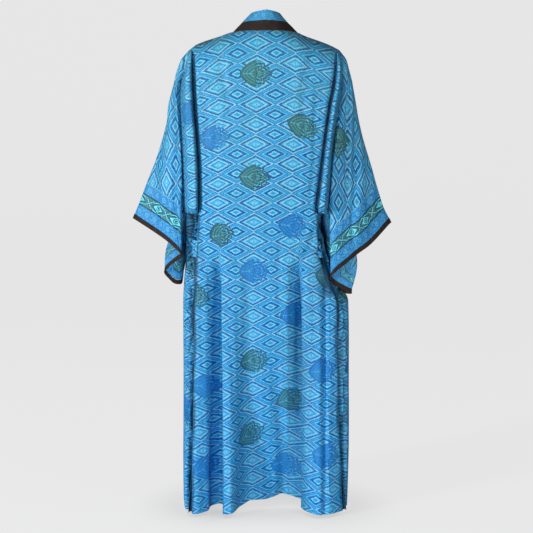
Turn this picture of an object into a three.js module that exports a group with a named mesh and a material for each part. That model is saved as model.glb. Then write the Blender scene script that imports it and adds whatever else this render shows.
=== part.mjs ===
// A long kimono jacket that keeps the hollow form of the figure it was put on.
// Millimetres, +Z up. The back faces -Y, the wearer looks along +Y and the wearer's right arm is at +X.
// The origin is at the height of the back neck seam, in the middle of the neck, where the shoulders hold it.
import * as THREE from "three";

const CLOTH = 1.6; // wall of one layer of cloth
const BINDING = 2.4; // wall of the folded bindings and of the neckband
const SEAM = 0.3; // gap between two pieces where they are sewn
const TURNED_SEAM = 0.8; // the same where the two walls meet at an angle
const SHOULDER_ROUND = 75; // height over which the cloth turns over the top of the shoulders
const UNDERARM = 478; // depth of the armhole below the neck
const WAIST = 574; // level of the belt
const HEM_DOWN = 1280; // depth of the hem at its lowest folds
const SIDE_SLIT = 1148; // the side seams end here, and the slits below them stay open
const SLIT_OPEN = 9; // how far each slit stands open at the hem
const BAND_WIDTH = 55; // the neckband, of which the lower half is the dark trim
const TRIM_WIDTH = 27;
const CUFF_BINDING = 12; // width of the dark binding round each cuff
const BELT_HEIGHT = 44;
const BELT_CLEAR = 3.9; // from the middle of the fronts' cloth to the middle of the belt's
const BELT_INSIDE = 7; // the same between the back and the belt behind it
const BELT_STEPS = 60;
const KNOT = { x: -28, half: new THREE.Vector3(27, 13, 25) };
const TAIL_APART = 2.1; // between the two ends of the belt where they leave the knot
const TAIL_SHARES = [0, 0.08, 0.16, 0.25, 0.38, 0.52, 0.68, 0.84, 1];
const TAILS = [
  { name: "belt_end_left", lean: -46, out: 6, length: 360, behind: true },
  { name: "belt_end_right", lean: 18, out: 10, length: 330, behind: false },
];
const FRONT_CURVE = 2.6; // power of the rounded plan of the fronts
const FRONT_ARMHOLE = 0.955; // the fronts' armhole seam, as a share of their widest
const LAPPED = 4; // half the space between the two fronts where they lie over each other

const smooth = (t) => {
  const c = Math.min(1, Math.max(0, t));
  return c * c * (3 - 2 * c);
};
const mix = (a, b, t) => a + (b - a) * t;

// A table with named columns, read between its rows along a smooth curve that never overshoots.
function table(names, rows) {
  const keys = rows.map((row) => row[0]);
  const step = keys.slice(1).map((key, i) => key - keys[i]);
  const columns = {};
  names.slice(1).forEach((name, c) => {
    const value = rows.map((row) => row[c + 1]);
    const slope = step.map((d, i) => (value[i + 1] - value[i]) / d);
    const tangent = value.map((_, i) => {
      const a = slope[i - 1] ?? slope[0];
      const b = slope[i] ?? slope[slope.length - 1];
      return a * b <= 0 ? 0 : (2 * a * b) / (a + b);
    });
    columns[name] = (key) => {
      const k = Math.min(keys[keys.length - 1], Math.max(keys[0], key));
      let i = 0;
      while (i < step.length - 1 && k > keys[i + 1]) i += 1;
      const t = (k - keys[i]) / step[i];
      const u = 1 - t;
      return (
        value[i] * u * u * (1 + 2 * t) +
        value[i + 1] * t * t * (3 - 2 * t) +
        step[i] * t * u * (tangent[i] * u - tangent[i + 1] * t)
      );
    };
  });
  return columns;
}

// The shoulder line, from the left armhole over the back of the neck to the right armhole.
const TOP = table(
  ["x", "y", "z"],
  [
    [-205, 0, -47],
    [-186, 0, -33],
    [-127, -5, -13],
    [-87, -22, -1.5],
    [-60, -50, 0],
    [-30, -62, 0],
    [0, -66, 0],
    [30, -62, 0],
    [52, -50, 0],
    [75, -22, -1.5],
    [105, -5, -12],
    [167, 0, -34],
    [193, 0, -47],
  ],
);

// Distances from the middle at each depth below the neck: tuck is the inner edge of the fold that hangs
// from the shoulder (and below the armhole the side seam), seam is the armhole, wide is the fronts' widest.
const SIDE = {
  left: table(
    ["down", "tuck", "seam", "wide"],
    [
      [0, 197, 205, 214.5],
      [60, 195, 215, 222],
      [118, 193, 227, 222],
      [175, 190, 227, 222],
      [283, 183, 225, 222],
      [390, 179, 224, 217],
      [478, 179, 223, 214],
      [526, 181, 223, 214],
      [574, 185, 223, 212],
      [620, 188, 223, 217],
      [660, 190, 223, 221],
      [720, 191, 223, 225],
      [893, 194, 223, 225],
      [1090, 197, 223, 227],
      [1160, 199, 223, 228],
      [1290, 200, 223, 228],
    ],
  ),
  right: table(
    ["down", "tuck", "seam", "wide"],
    [
      [0, 186, 193, 202],
      [60, 184, 199, 207],
      [118, 178, 197, 206],
      [175, 168, 189, 203],
      [283, 155, 177, 190],
      [390, 143, 171, 168],
      [478, 134, 167, 152],
      [526, 134, 167, 147],
      [574, 140, 167, 147],
      [600, 148, 167, 151],
      [640, 160, 167, 168],
      [660, 166, 167, 182],
      [700, 182, 167, 214],
      [720, 187, 167, 221],
      [893, 190, 167, 224],
      [1090, 196, 167, 226],
      [1160, 200, 167, 225],
      [1290, 206, 167, 222],
    ],
  ),
};

// How far the back and the fronts stand from the middle plane at each depth.
const DEPTH = table(
  ["down", "back", "front"],
  [
    [0, 105, 96],
    [75, 109, 100],
    [200, 117, 110],
    [350, 113, 111],
    [478, 106, 104],
    [574, 101, 96],
    [700, 101, 104],
    [1290, 101, 118],
  ],
);

// The waves of the back at its hem: two deep folds at the sides of a middle that swings forwards.
const HEM = table(
  ["x", "y", "lift"],
  [
    [-205, -126, -2],
    [-190, -131, -2],
    [-165, -116, 0],
    [-135, -88, 2],
    [-124, -87, 2],
    [-116, -144, 0],
    [-98, -142, 1],
    [-68, -86, 5],
    [-45, -56, 13],
    [-7, -50, 14],
    [20, -45, 20],
    [43, -40, 26],
    [59, -44, 24],
    [75, -63, 16],
    [90, -94, 9],
    [106, -126, 4],
    [148, -150, 0],
    [181, -130, 0],
    [206, -106, 0],
  ],
);

// Where the open edge of the left front runs, measured from the middle. The right front mirrors it.
const OPENING = table(
  ["down", "x"],
  [
    [0, -87],
    [10, -89],
    [35, -85],
    [90, -68],
    [200, -34],
    [330, 4],
    [450, 36],
    [574, 60],
    [800, 66],
    [1290, 70],
  ],
);

// How far the upper fold of each sleeve bows out from a straight line between shoulder and cuff.
const BOW = table(
  ["along", "left", "right"],
  [
    [0, 0, 0],
    [0.06, 13, 11],
    [0.12, 14, 10],
    [0.18, 11, 8],
    [0.29, 4, 2],
    [0.41, -4, -5],
    [0.53, -8, -8],
    [0.65, -9, -8],
    [0.77, -6, -9],
    [0.89, -4, -9],
    [1, 0, 0],
  ],
);

// The edge of each cuff, once round: along the near layer, round the two folds of its hanging corner,
// up behind them and back along the far layer. Billow is how far the cloth above swings out sideways.
const CUFF_COLUMNS = ["x", "y", "z", "billow"];
const CUFF = {
  left: [
    [-362, 0, -497, 0], // top
    [-356, -9, -500, 0], // near layer
    [-304, -38, -530, 0],
    [-267, -60, -553, 0],
    [-245, -73, -570, 0],
    [-229, -80, -586, 0],
    [-226, -75, -596, 0], // first fold
    [-236, -68, -603, -4],
    [-262, -60, -623, -12],
    [-274, -54, -639, -17], // hanging corner
    [-264, -49, -655, -12],
    [-247, -43, -671, -4],
    [-232, -34, -673, 0], // inner side, beside the figure
    [-229, -8, -664, 0],
    [-231, 24, -648, 0],
    [-250, 52, -612, 0], // far layer
    [-300, 44, -548, 0],
    [-347, 16, -504, 0],
  ],
  right: [
    [338, 0, -508, 0], // top
    [331, -9, -514, 0], // near layer
    [278, -42, -566, 0],
    [245, -58, -588, 0],
    [212, -74, -613, 0],
    [184, -84, -634, 0],
    [171, -84, -652, 0], // first fold
    [177, -78, -665, 14],
    [206, -71, -684, 36],
    [228, -65, -695, 45], // hanging corner
    [212, -59, -695, 36],
    [190, -55, -676, 14],
    [173, -49, -644, 0], // inner side, beside the figure
    [160, -22, -608, 0],
    [158, 10, -592, 0],
    [196, 42, -576, 0], // far layer
    [262, 44, -545, 0],
    [320, 16, -512, 0],
  ],
};
const FIRST_FOLD = 6; // rows of the cuff table where the near layer ends and where the far layer starts
const FAR_LAYER = 15;
const UNDER_STATIONS = [6.4, 7, 8, 8.6, 9, 9.4, 10, 11, 12, 13, 14]; // between those two

const sideOf = (x) => (x < 0 ? SIDE.left : SIDE.right);
// 0 at the shoulder line and 1 where the cloth has turned to hang straight.
const turned = (down) =>
  Math.sqrt(1 - (1 - Math.min(1, down / SHOULDER_ROUND)) ** 2);
// A level below the neck follows the sloping shoulders at the top and is flat at the armhole's foot.
const heightOf = (x, down) =>
  -down + TOP.z(x) * Math.max(0, 1 - down / UNDERARM);

// The raised fold beside each armhole, across its width from the tuck (0) to the armhole seam (1).
function shoulderFold(across, down) {
  const raised = 18 - 30 * smooth(across / 0.2) + 34 * smooth((across - 0.5) / 0.5);
  const rolledUnder = 14 * smooth((down - UNDERARM + 16) / 16);
  return (raised + rolledUnder) * smooth(down / 30);
}

// The back panel's middle surface.
function backPoint(x, down) {
  const side = sideOf(x);
  const across =
    (Math.abs(x) - side.tuck(down)) / (side.seam(down) - side.tuck(down));
  const hanging = -DEPTH.back(down) + 25 * (x / 200) ** 2;
  const waved = smooth((down - 480) / 1400) * 1.65;
  let y = mix(hanging, HEM.y(x), Math.min(1, waved));
  if (down <= UNDERARM) {
    const inside = side.tuck(down) - Math.abs(x);
    const tucked =
      18 * Math.exp(-((inside / 7) ** 2)) * smooth(down / 30) * smooth((UNDERARM - down) / 30);
    y += across > 0 ? shoulderFold(across, down) : tucked;
  }
  const z =
    heightOf(x, down) +
    HEM.lift(x) * smooth((down - UNDERARM) / (HEM_DOWN - UNDERARM));
  return new THREE.Vector3(x, mix(TOP.y(x), y, turned(down)), z);
}

// The fronts' middle surface; layer is 1 for the left front, which lies outside, and -1 for the right.
function frontPoint(x, down, layer) {
  const wide = sideOf(x).wide(down);
  const rounded =
    DEPTH.front(down) *
    (1 - Math.min(1, Math.abs(x / wide)) ** FRONT_CURVE) ** (1 / FRONT_CURVE);
  const y = rounded + layer * LAPPED * smooth((wide * FRONT_ARMHOLE - Math.abs(x)) / 14);
  return new THREE.Vector3(x, mix(TOP.y(x), y, turned(down)), heightOf(x, down));
}

// A smooth curve through points, read from 0 at the first to 1 at the last.
function through(points, closed = false) {
  const vectors = points.map((p) => new THREE.Vector3(...p));
  return new THREE.CatmullRomCurve3(vectors, closed, "centripetal");
}

// The side of a front below the armhole, from its front (0) round the figure to the side seam (1).
function sideCurve(sign, down) {
  const side = sign < 0 ? SIDE.left : SIDE.right;
  const wide = side.wide(down);
  const tuck = side.tuck(down);
  const front = frontPoint(sign * wide * FRONT_ARMHOLE, down, 0);
  const seamY = backPoint(sign * tuck, down).y;
  const open = SLIT_OPEN * smooth((down - SIDE_SLIT) / (HEM_DOWN - SIDE_SLIT));
  return through([
    [front.x, front.y, front.z],
    [sign * wide, 6, front.z],
    [sign * (wide - 1), -26, front.z],
    [sign * mix(tuck, wide, 0.6), seamY + 34, front.z],
    [sign * mix(tuck, wide, 0.25), seamY + 25, front.z],
    [sign * (tuck + 1.2 + open), seamY + 14, front.z],
    [sign * (tuck + SEAM + open), seamY + 2.2, front.z],
  ]);
}

// The cells of a grid that a test keeps, each as the numbers of its four points.
function cellsOf(grid, round, keep) {
  const columns = grid[0].length;
  const next = (j) => (round ? (j + 1) % columns : j + 1);
  const key = (i, j) => i * columns + j;
  const cells = [];
  for (let i = 0; i < grid.length - 1; i += 1)
    for (let j = 0; j < (round ? columns : columns - 1); j += 1)
      if (keep(i, j)) cells.push([key(i, j), key(i, next(j)), key(i + 1, next(j)), key(i + 1, j)]);
  return cells;
}

// The direction that the cloth faces at each point of a grid.
function normalsOf(grid, cells) {
  const points = grid.flat();
  const normals = points.map(() => new THREE.Vector3());
  for (const [a, b, c, d] of cells) {
    const n = new THREE.Vector3().crossVectors(
      points[c].clone().sub(points[a]),
      points[d].clone().sub(points[b]),
    );
    [a, b, c, d].forEach((k) => normals[k].add(n));
  }
  return normals.map((n) => n.normalize());
}

// A wall of cloth on a grid of points: both faces, and an edge wherever the cloth ends. The last row
// faces as the piece that it is sewn to, where endNormals says how that faces.
function wall(name, grid, colour, options = {}) {
  const { round = false, keep = () => true, thick = CLOTH, endNormals = [] } = options;
  const points = grid.flat();
  const cells = cellsOf(grid, round, keep);
  const normals = normalsOf(grid, cells);
  normals.splice(normals.length - endNormals.length, endNormals.length, ...endNormals);
  const position = [];
  points.forEach((p, k) => {
    const n = normals[k].clone().multiplyScalar(thick / 2);
    position.push(...p.clone().add(n).toArray(), ...p.clone().sub(n).toArray());
  });
  const index = [];
  const quad = (a, b, c, d) => index.push(a, b, c, a, c, d);
  const edges = new Set(
    cells.flatMap((cell) => cell.map((k, i) => k + "_" + cell[(i + 1) % 4])),
  );
  for (const cell of cells) {
    const [a, b, c, d] = cell.map((k) => 2 * k);
    quad(a, b, c, d);
    quad(d + 1, c + 1, b + 1, a + 1);
    cell.forEach((k, i) => {
      const l = cell[(i + 1) % 4];
      if (!edges.has(l + "_" + k)) quad(2 * l, 2 * k, 2 * k + 1, 2 * l + 1);
    });
  }
  const geometry = new THREE.BufferGeometry();
  geometry.setAttribute("position", new THREE.Float32BufferAttribute(position, 3));
  geometry.setIndex(index);
  const shape = geometry.toNonIndexed();
  shape.computeVertexNormals();
  const material = new THREE.MeshStandardMaterial({ color: colour, roughness: 0.6, metalness: 0 });
  const mesh = new THREE.Mesh(shape, material);
  mesh.name = name;
  return mesh;
}

const PRINT = 0x3d95cb;
const BORDER = 0x3c8fc4;
const DARK = 0x3a2f2b;

const ARMHOLE_LEVELS = [0, 3, 10, 24, 46, 75, 120, 180, 250, 325, 395, 445, 463, UNDERARM];
const LOWER_LEVELS = [540, 574, 610, 650, 700, 740, 830, 930, 1040, SIDE_SLIT];
const FOLD_COLUMNS = [1, 0.93, 0.75, 0.5, 0.2, 0.1]; // across the raised folds beside the armholes
const EDGE_SHARES = [1, 0.86, 0.5]; // from a tuck to the nearest of the middle columns
const MIDDLE_COLUMNS = [-124, -116, -98, -68, -45, -7, 20, 43, 59, 75, 90, 106];
const FRONT_COLUMNS = [0, 0.14, 0.3, 0.46, 0.62, 0.76, 0.88, 1];
const SIDE_COLUMNS = [0.12, 0.26, 0.42, 0.56, 0.68, 0.79, 0.9, 1];

function makeBack() {
  const edge = SEAM / 2;
  const outermost = MIDDLE_COLUMNS[MIDDLE_COLUMNS.length - 1];
  const grid = [...ARMHOLE_LEVELS, ...LOWER_LEVELS, HEM_DOWN].map((down) => {
    const fold = (sign, side) =>
      FOLD_COLUMNS.map((q) => sign * (mix(side.tuck(down), side.seam(down), q) - edge));
    const outer = (sign, side, start) =>
      EDGE_SHARES.map((q) => mix(start, sign * (side.tuck(down) - edge), q));
    const xs = [
      ...fold(-1, SIDE.left),
      ...outer(-1, SIDE.left, MIDDLE_COLUMNS[0]),
      ...MIDDLE_COLUMNS,
      ...outer(1, SIDE.right, outermost).reverse(),
      ...fold(1, SIDE.right).reverse(),
    ];
    return xs.map((x) => backPoint(x, down));
  });
  const folds = FOLD_COLUMNS.length;
  const columns = grid[0].length - 1;
  const armhole = ARMHOLE_LEVELS.length - 1;
  const keep = (i, j) => i < armhole || (j >= folds && j < columns - folds);
  grid[0].forEach((p) => {
    p.y -= TURNED_SEAM / 2;
  });
  return wall("back_panel", grid, PRINT, { keep });
}

// A front, from its open edge round to the side seam. Below the armhole its side wraps the figure,
// and a slot at the waist lets the belt through to the inside of the back.
function makeFront(name, sign) {
  const layer = -sign;
  const side = sign < 0 ? SIDE.left : SIDE.right;
  const levels = [...ARMHOLE_LEVELS, ...LOWER_LEVELS, HEM_DOWN];
  const armhole = ARMHOLE_LEVELS.length - 1;
  const grid = levels.map((down, i) => {
    const start = -sign * OPENING.x(down);
    const end = sign * side.wide(down) * FRONT_ARMHOLE;
    const front = FRONT_COLUMNS.map((f) => frontPoint(mix(start, end, f), down, layer));
    const lowered = i === armhole ? 2.6 : 0;
    const curve = sideCurve(sign, Math.max(down, UNDERARM + 2));
    const flank = SIDE_COLUMNS.map((f) => {
      const p = curve.getPoint(f);
      return new THREE.Vector3(p.x, p.y, -down - lowered * smooth(f / 0.3));
    });
    return [...front, ...flank];
  });
  const atArmhole = FRONT_COLUMNS.length - 1;
  const slotStart = atArmhole + SIDE_COLUMNS.length - 2;
  const inSlot = (i) => levels[i] >= 540 && levels[i + 1] <= 610;
  const keep = (i, j) => j < atArmhole || (i >= armhole && !(inSlot(i) && j >= slotStart));
  grid[0].forEach((p) => {
    p.y += TURNED_SEAM / 2;
  });
  if (sign < 0) return wall(name, grid, PRINT, { keep });
  grid.forEach((row) => row.reverse());
  return wall(name, grid, PRINT, { keep: (i, j) => keep(i, grid[0].length - 2 - j) });
}

// Once round the armhole: down the back seam, under the arm and up the front seam.
function armholeRing(sign) {
  const side = sign < 0 ? SIDE.left : SIDE.right;
  const clear = 2.4; // the sleeve laps over the top of the side, this far outside it
  const apart = (down) => TURNED_SEAM * (1 + smooth((down - 260) / 150));
  const back = ARMHOLE_LEVELS.map((down) => {
    const p = backPoint(sign * side.seam(down), down);
    return [p.x + sign * apart(down), p.y, p.z];
  });
  const front = ARMHOLE_LEVELS.slice(1).map((down) => {
    const p = frontPoint(sign * side.wide(down) * FRONT_ARMHOLE, down, 0);
    return [p.x + sign * apart(down), p.y, p.z];
  });
  const wide = side.wide(UNDERARM) + clear;
  const last = back[back.length - 1];
  const under = through([
    last,
    [sign * mix(Math.abs(last[0]), wide, 0.5), last[1] + 22, -UNDERARM + 2],
    [sign * wide, -26, -UNDERARM + 2],
    [sign * wide, 8, -UNDERARM + 2],
    front[front.length - 1],
  ]);
  const between = UNDER_STATIONS.map((k) =>
    under.getPoint((k - FIRST_FOLD) / (FAR_LAYER - FIRST_FOLD)),
  );
  return [
    ...back.map((p) => new THREE.Vector3(...p)),
    ...between,
    ...front.reverse().map((p) => new THREE.Vector3(...p)),
  ];
}

// The places round the cuff that belong to the places round the armhole, as rows of the cuff table.
function cuffStations() {
  const near = ARMHOLE_LEVELS.map((down) => FIRST_FOLD * (down / UNDERARM) ** 0.8);
  const count = CUFF.left.length;
  const far = ARMHOLE_LEVELS.slice(1).map((down) => count - (count - FAR_LAYER) * (down / UNDERARM) ** 0.8);
  return [...near, ...UNDER_STATIONS, ...far.reverse()];
}

// A ring of points round the sleeve, at a share of the way from the armhole (0) to a line that lies
// a given distance short of the cuff's edge (1).
function sleeveRing(sign, share, short) {
  const name = sign < 0 ? "left" : "right";
  const rows = CUFF[name];
  const edge = through(rows.map(([x, y, z]) => [x, y, z]), true);
  const billow = through(rows.map((row) => [row[3], 0, 0]), true);
  const armhole = armholeRing(sign);
  return cuffStations().map((station, k) => {
    const t = (station / rows.length) % 1;
    const fromTop = Math.min(station, rows.length - station);
    const end = edge.getPoint(t);
    const along = share * (1 - short / armhole[k].distanceTo(end));
    const p = armhole[k].clone().lerp(end, along);
    p.x += sign * BOW[name](along) * (1 - smooth(fromTop / 4.5));
    p.x += billow.getPoint(t).x * (4 * along * (1 - along)) ** 1.5;
    return p;
  });
}

const SLEEVE_STATIONS = [0, 0.06, 0.16, 0.3, 0.45, 0.6, 0.75, 0.88, 1];

// One sleeve and the binding that is folded over its cuff.
function makeSleeve(sign, name) {
  const turn = (grid) => (sign < 0 ? grid : grid.map((row) => row.reverse()));
  const binding = turn([CUFF_BINDING, 0].map((short) => sleeveRing(sign, 1, short)));
  const facing = normalsOf(binding, cellsOf(binding, true, () => true));
  const endNormals = facing.slice(0, binding[0].length);
  const sewn = CUFF_BINDING + 1.5 * TURNED_SEAM;
  const sleeve = turn(SLEEVE_STATIONS.map((share) => sleeveRing(sign, share, sewn)));
  return [
    wall("sleeve_" + name, sleeve, PRINT, { round: true, endNormals }),
    wall("cuff_binding_" + name, binding, DARK, { round: true }),
  ];
}

// The line that the neckband is sewn to: up the open edge of the left front, round the back of the
// neck and down the right. Standing is 1 where the band stands up and 0 where it lies on the chest.
const BAND_LEVELS = [...ARMHOLE_LEVELS.slice(1), ...LOWER_LEVELS, HEM_DOWN].reverse();
const NECK_COLUMNS = [-87, -76, -60, -40, -20, 0, 20, 40, 55, 67, 75];

// Across the band at one place: standing straight up round the neck, lying on the front below it.
function bandPoint(place, width) {
  const { layer, down, x } = place;
  const lying = frontPoint(x + layer * width, down, layer);
  const base = layer ? frontPoint(x, down, layer) : new THREE.Vector3(x, TOP.y(x), TOP.z(x));
  const lean = new THREE.Vector3(-base.x * 0.0098, -base.y * 0.0045, 1 - Math.abs(base.x) * 0.0014);
  const stood = base.clone().addScaledVector(lean, width);
  const standing = layer ? 1 - smooth((down - 4) / 120) : 1;
  return lying.lerp(stood, standing);
}

function bandLine() {
  const edge = (layer) => (down) => ({ layer, down, x: layer * OPENING.x(down) });
  const neck = NECK_COLUMNS.map((x) => ({ layer: 0, down: 0, x }));
  return [...BAND_LEVELS.map(edge(1)), ...neck, ...BAND_LEVELS.map(edge(-1)).reverse()];
}

function makeBand(name, colour, from, to) {
  const grid = bandLine().map((place) => [from, to].map((width) => bandPoint(place, width)));
  return wall(name, grid, colour, { thick: BINDING });
}

// One level of the belt: round the outside of the fronts, in through the slots in the side seams and
// along the inside of the back, which hangs free over it.
function beltRing(down) {
  const outwards = (p) => {
    const out = new THREE.Vector3(p.x, p.y, 0).normalize();
    return [p.x + out.x * BELT_CLEAR, p.y + out.y * BELT_CLEAR, -down];
  };
  const overFront = [0.93, 0.88, 0.8, 0.66, 0.45, 0.2, -0.1, -0.4, -0.62, -0.78, -0.88, -0.93].map((share) => {
    const side = share > 0 ? SIDE.right : SIDE.left;
    return outwards(frontPoint(share * side.wide(down), down, 1));
  });
  const flank = (sign) => {
    const curve = sideCurve(sign, down);
    const slot = curve.getPoint(0.9);
    return [...[0.03, 0.2, 0.36, 0.52, 0.66].map((f) => outwards(curve.getPoint(f))), [slot.x, slot.y, -down]];
  };
  const tucks = [SIDE.left.tuck(down) - 12, SIDE.right.tuck(down) - 12];
  const inside = [-tucks[0], -90, 0, 70, tucks[1]].map((x) => [x, backPoint(x, down).y + BELT_INSIDE, -down]);
  const ring = through([...overFront, ...flank(-1), ...inside, ...flank(1).reverse()], true);
  return ring.getPoints(BELT_STEPS).slice(0, BELT_STEPS);
}

function makeBelt() {
  const levels = [WAIST - BELT_HEIGHT / 2, WAIST + BELT_HEIGHT / 2];
  return wall("belt", levels.map(beltRing), PRINT, { round: true });
}

// The knot over the middle of the belt and the two ends that hang from it.
function knotMiddle() {
  const front = frontPoint(KNOT.x, WAIST, 1).y;
  return new THREE.Vector3(KNOT.x, front + BELT_CLEAR + CLOTH + SEAM + KNOT.half.y, -WAIST);
}

function makeKnot() {
  const shape = new THREE.SphereGeometry(1, 14, 8).scale(KNOT.half.x, KNOT.half.y, KNOT.half.z);
  const mesh = new THREE.Mesh(shape, new THREE.MeshStandardMaterial({ color: PRINT, roughness: 0.6 }));
  mesh.name = "belt_knot";
  mesh.position.copy(knotMiddle());
  return mesh;
}

function makeTail({ name, lean, out, length, behind }) {
  const top = WAIST + KNOT.half.z + SEAM;
  const knotY = knotMiddle().y + TAIL_APART * (behind ? -0.5 : 0.5);
  const grid = TAIL_SHARES.map((share) => {
    const down = top + length * share;
    const middle = KNOT.x + lean * share;
    const half = mix(6, BELT_HEIGHT / 2, smooth(share * 3));
    return [-half, 0, half].map((side) => {
      const p = frontPoint(middle + side, down, 1);
      return new THREE.Vector3(p.x, mix(knotY, p.y + out, smooth(share * 3)), -down);
    });
  });
  return wall(name, grid.map((row) => row.reverse()), PRINT);
}

const group = new THREE.Group();
group.add(makeBack());
group.add(makeFront("front_left", -1), makeFront("front_right", 1));
group.add(...makeSleeve(-1, "left"), ...makeSleeve(1, "right"));
group.add(makeBand("neckband_trim", DARK, 1.2, TRIM_WIDTH));
group.add(makeBand("neckband", BORDER, TRIM_WIDTH + TURNED_SEAM, BAND_WIDTH));
group.add(makeBelt(), makeKnot());
group.add(...TAILS.map(makeTail));

export default group;
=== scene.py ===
"""A long kimono jacket in its worn form, finished in printed silk round the fixed frame.

Sizes are in millimetres in the frame's own axes until a mesh is made, which is in metres. The back of the
garment faces -Y, the wearer's right arm is at +X, and every depth is measured down from the back neck seam.
"""

import math

import bpy
import numpy as np
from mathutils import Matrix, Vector


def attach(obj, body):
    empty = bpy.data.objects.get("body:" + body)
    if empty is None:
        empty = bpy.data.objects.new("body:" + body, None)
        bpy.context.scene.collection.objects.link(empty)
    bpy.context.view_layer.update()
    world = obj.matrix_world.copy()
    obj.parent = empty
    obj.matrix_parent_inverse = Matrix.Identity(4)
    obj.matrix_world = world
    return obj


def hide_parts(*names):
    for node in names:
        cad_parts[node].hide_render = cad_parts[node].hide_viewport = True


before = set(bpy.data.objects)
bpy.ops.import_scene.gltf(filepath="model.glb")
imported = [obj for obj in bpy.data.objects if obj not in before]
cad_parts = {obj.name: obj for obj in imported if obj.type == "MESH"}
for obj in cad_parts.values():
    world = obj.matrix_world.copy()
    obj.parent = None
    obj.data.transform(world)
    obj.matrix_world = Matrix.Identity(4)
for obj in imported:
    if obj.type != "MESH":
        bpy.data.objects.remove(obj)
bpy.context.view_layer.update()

MILLIMETRE = 0.001  # in metres
SILK = 0.9  # thickness of one layer of the printed cloth
BAND = 2.3  # thickness of the doubled neckband
BIND = 2.6  # thickness of the folded cuff bindings
SEAM_HALF = 0.15  # half of the gap that is left at a seam

UNDERARM = 478  # depths of the main levels
WAIST = 574
SIDE_SLIT = 1148
HEM_DOWN = 1280
SHOULDER_ROUND = 75  # how far down the shoulders go on turning
SLIT_OPEN = 9  # how far a side slit stands open at the hem
FRONT_CURVE = 2.6  # power of the front's rounded outline
FRONT_ARMHOLE = 0.955  # share of the half width where a front meets its sleeve
LAPPED = 4  # how far each front lies off their common form, the left one outwards
NECK_LEFT, NECK_RIGHT = -87, 75  # x where the neck starts on each shoulder
BACK_MIDDLE = (-128, 106)  # x of the stretch of the back between its two sides
BACK_COLUMNS = (28, 20, 118)  # across a raised fold, a side and the middle of the back
FRONT_COLUMNS, FLANK_COLUMNS = 70, 71  # across the front of a front, and round its side
BAND_COLUMNS = 15  # across each half of the neckband
BELT_SLOT = 0.79  # where the belt goes inside, as a share of the way round the side

BAND_WIDTH = 55
TRIM_WIDTH = 27
TRIM_LAP = 2  # how far the trim lies over the edge of the cloth
CUFF_BINDING = 12
BELT_HEIGHT = 44
BELT_CLEAR = 3.9  # from the form of the fronts out to the belt
BELT_INSIDE = 7  # from the back in to the belt
KNOT_X = -28
KNOT_HALF = (27, 13, 25)

ARMHOLE_OUT = 205  # x of an armhole at the shoulder, about
NEAR_TURN = 3  # row of CUFF from which the near layer rolls over the top fold
FIRST_FOLD = 6  # row of CUFF where the near layer ends and the folded end starts
FOLDED_END = 9.2  # row of CUFF in the middle of the folded end
FAR_TURN = 13  # row of CUFF from which the print is measured back from the top fold
INNER_SIDE = 14.4  # row of CUFF in the middle of a sleeve's side beside the figure
INNER_SWING = 12  # how far that side swings in
FAR_LAYER = 15  # row of CUFF where the far layer starts

REPEAT = (100, 51.1)  # the printed lattice, across and down
FIRST_ROW = 33.6  # from the neck down to the first row of large diamonds
SIDE_PRINT = 36  # how far across the lattice the side seams lie
SLEEVE_PRINT = 12  # how far the lattice is moved across the sleeves
EDGE_PRINT = (12.5, 43.5, 75.5, 104)  # from a cuff's edge: binding, rings, eyes, rings, lattice
EYE_EVERY = 62.0  # along the green band of a cuff's print
NOWHERE = 999.0  # a place too far off for any motif or border to show


# ---------------------------------------------------------------- tables and curves


def smooth(t):
    c = np.clip(t, 0, 1)
    return c * c * (3 - 2 * c)


def mix(a, b, t):
    return a + (b - a) * t


def bump(t):
    return np.exp(-(t**2))


class Table:
    """Named columns, read between their rows along a smooth curve that never overshoots."""

    def __init__(self, names, rows):
        data = np.array(rows, float)
        self.keys = data[:, 0]
        self.step = np.diff(self.keys)
        self.column = {}
        for name, value in zip(names[1:], data[:, 1:].T):
            slope = np.diff(value) / self.step
            before = np.concatenate([slope[:1], slope])
            after = np.concatenate([slope, slope[-1:]])
            total = np.where(before + after == 0, 1, before + after)
            tangent = np.where(before * after <= 0, 0, 2 * before * after / total)
            self.column[name] = value, tangent

    def __call__(self, name, key):
        value, tangent = self.column[name]
        k = np.clip(key, self.keys[0], self.keys[-1])
        i = np.clip(np.searchsorted(self.keys, k, "right") - 1, 0, len(self.step) - 1)
        t = (k - self.keys[i]) / self.step[i]
        u = 1 - t
        return (
            value[i] * u * u * (1 + 2 * t)
            + value[i + 1] * t * t * (3 - 2 * t)
            + self.step[i] * t * u * (tangent[i] * u - tangent[i + 1] * t)
        )


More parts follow.
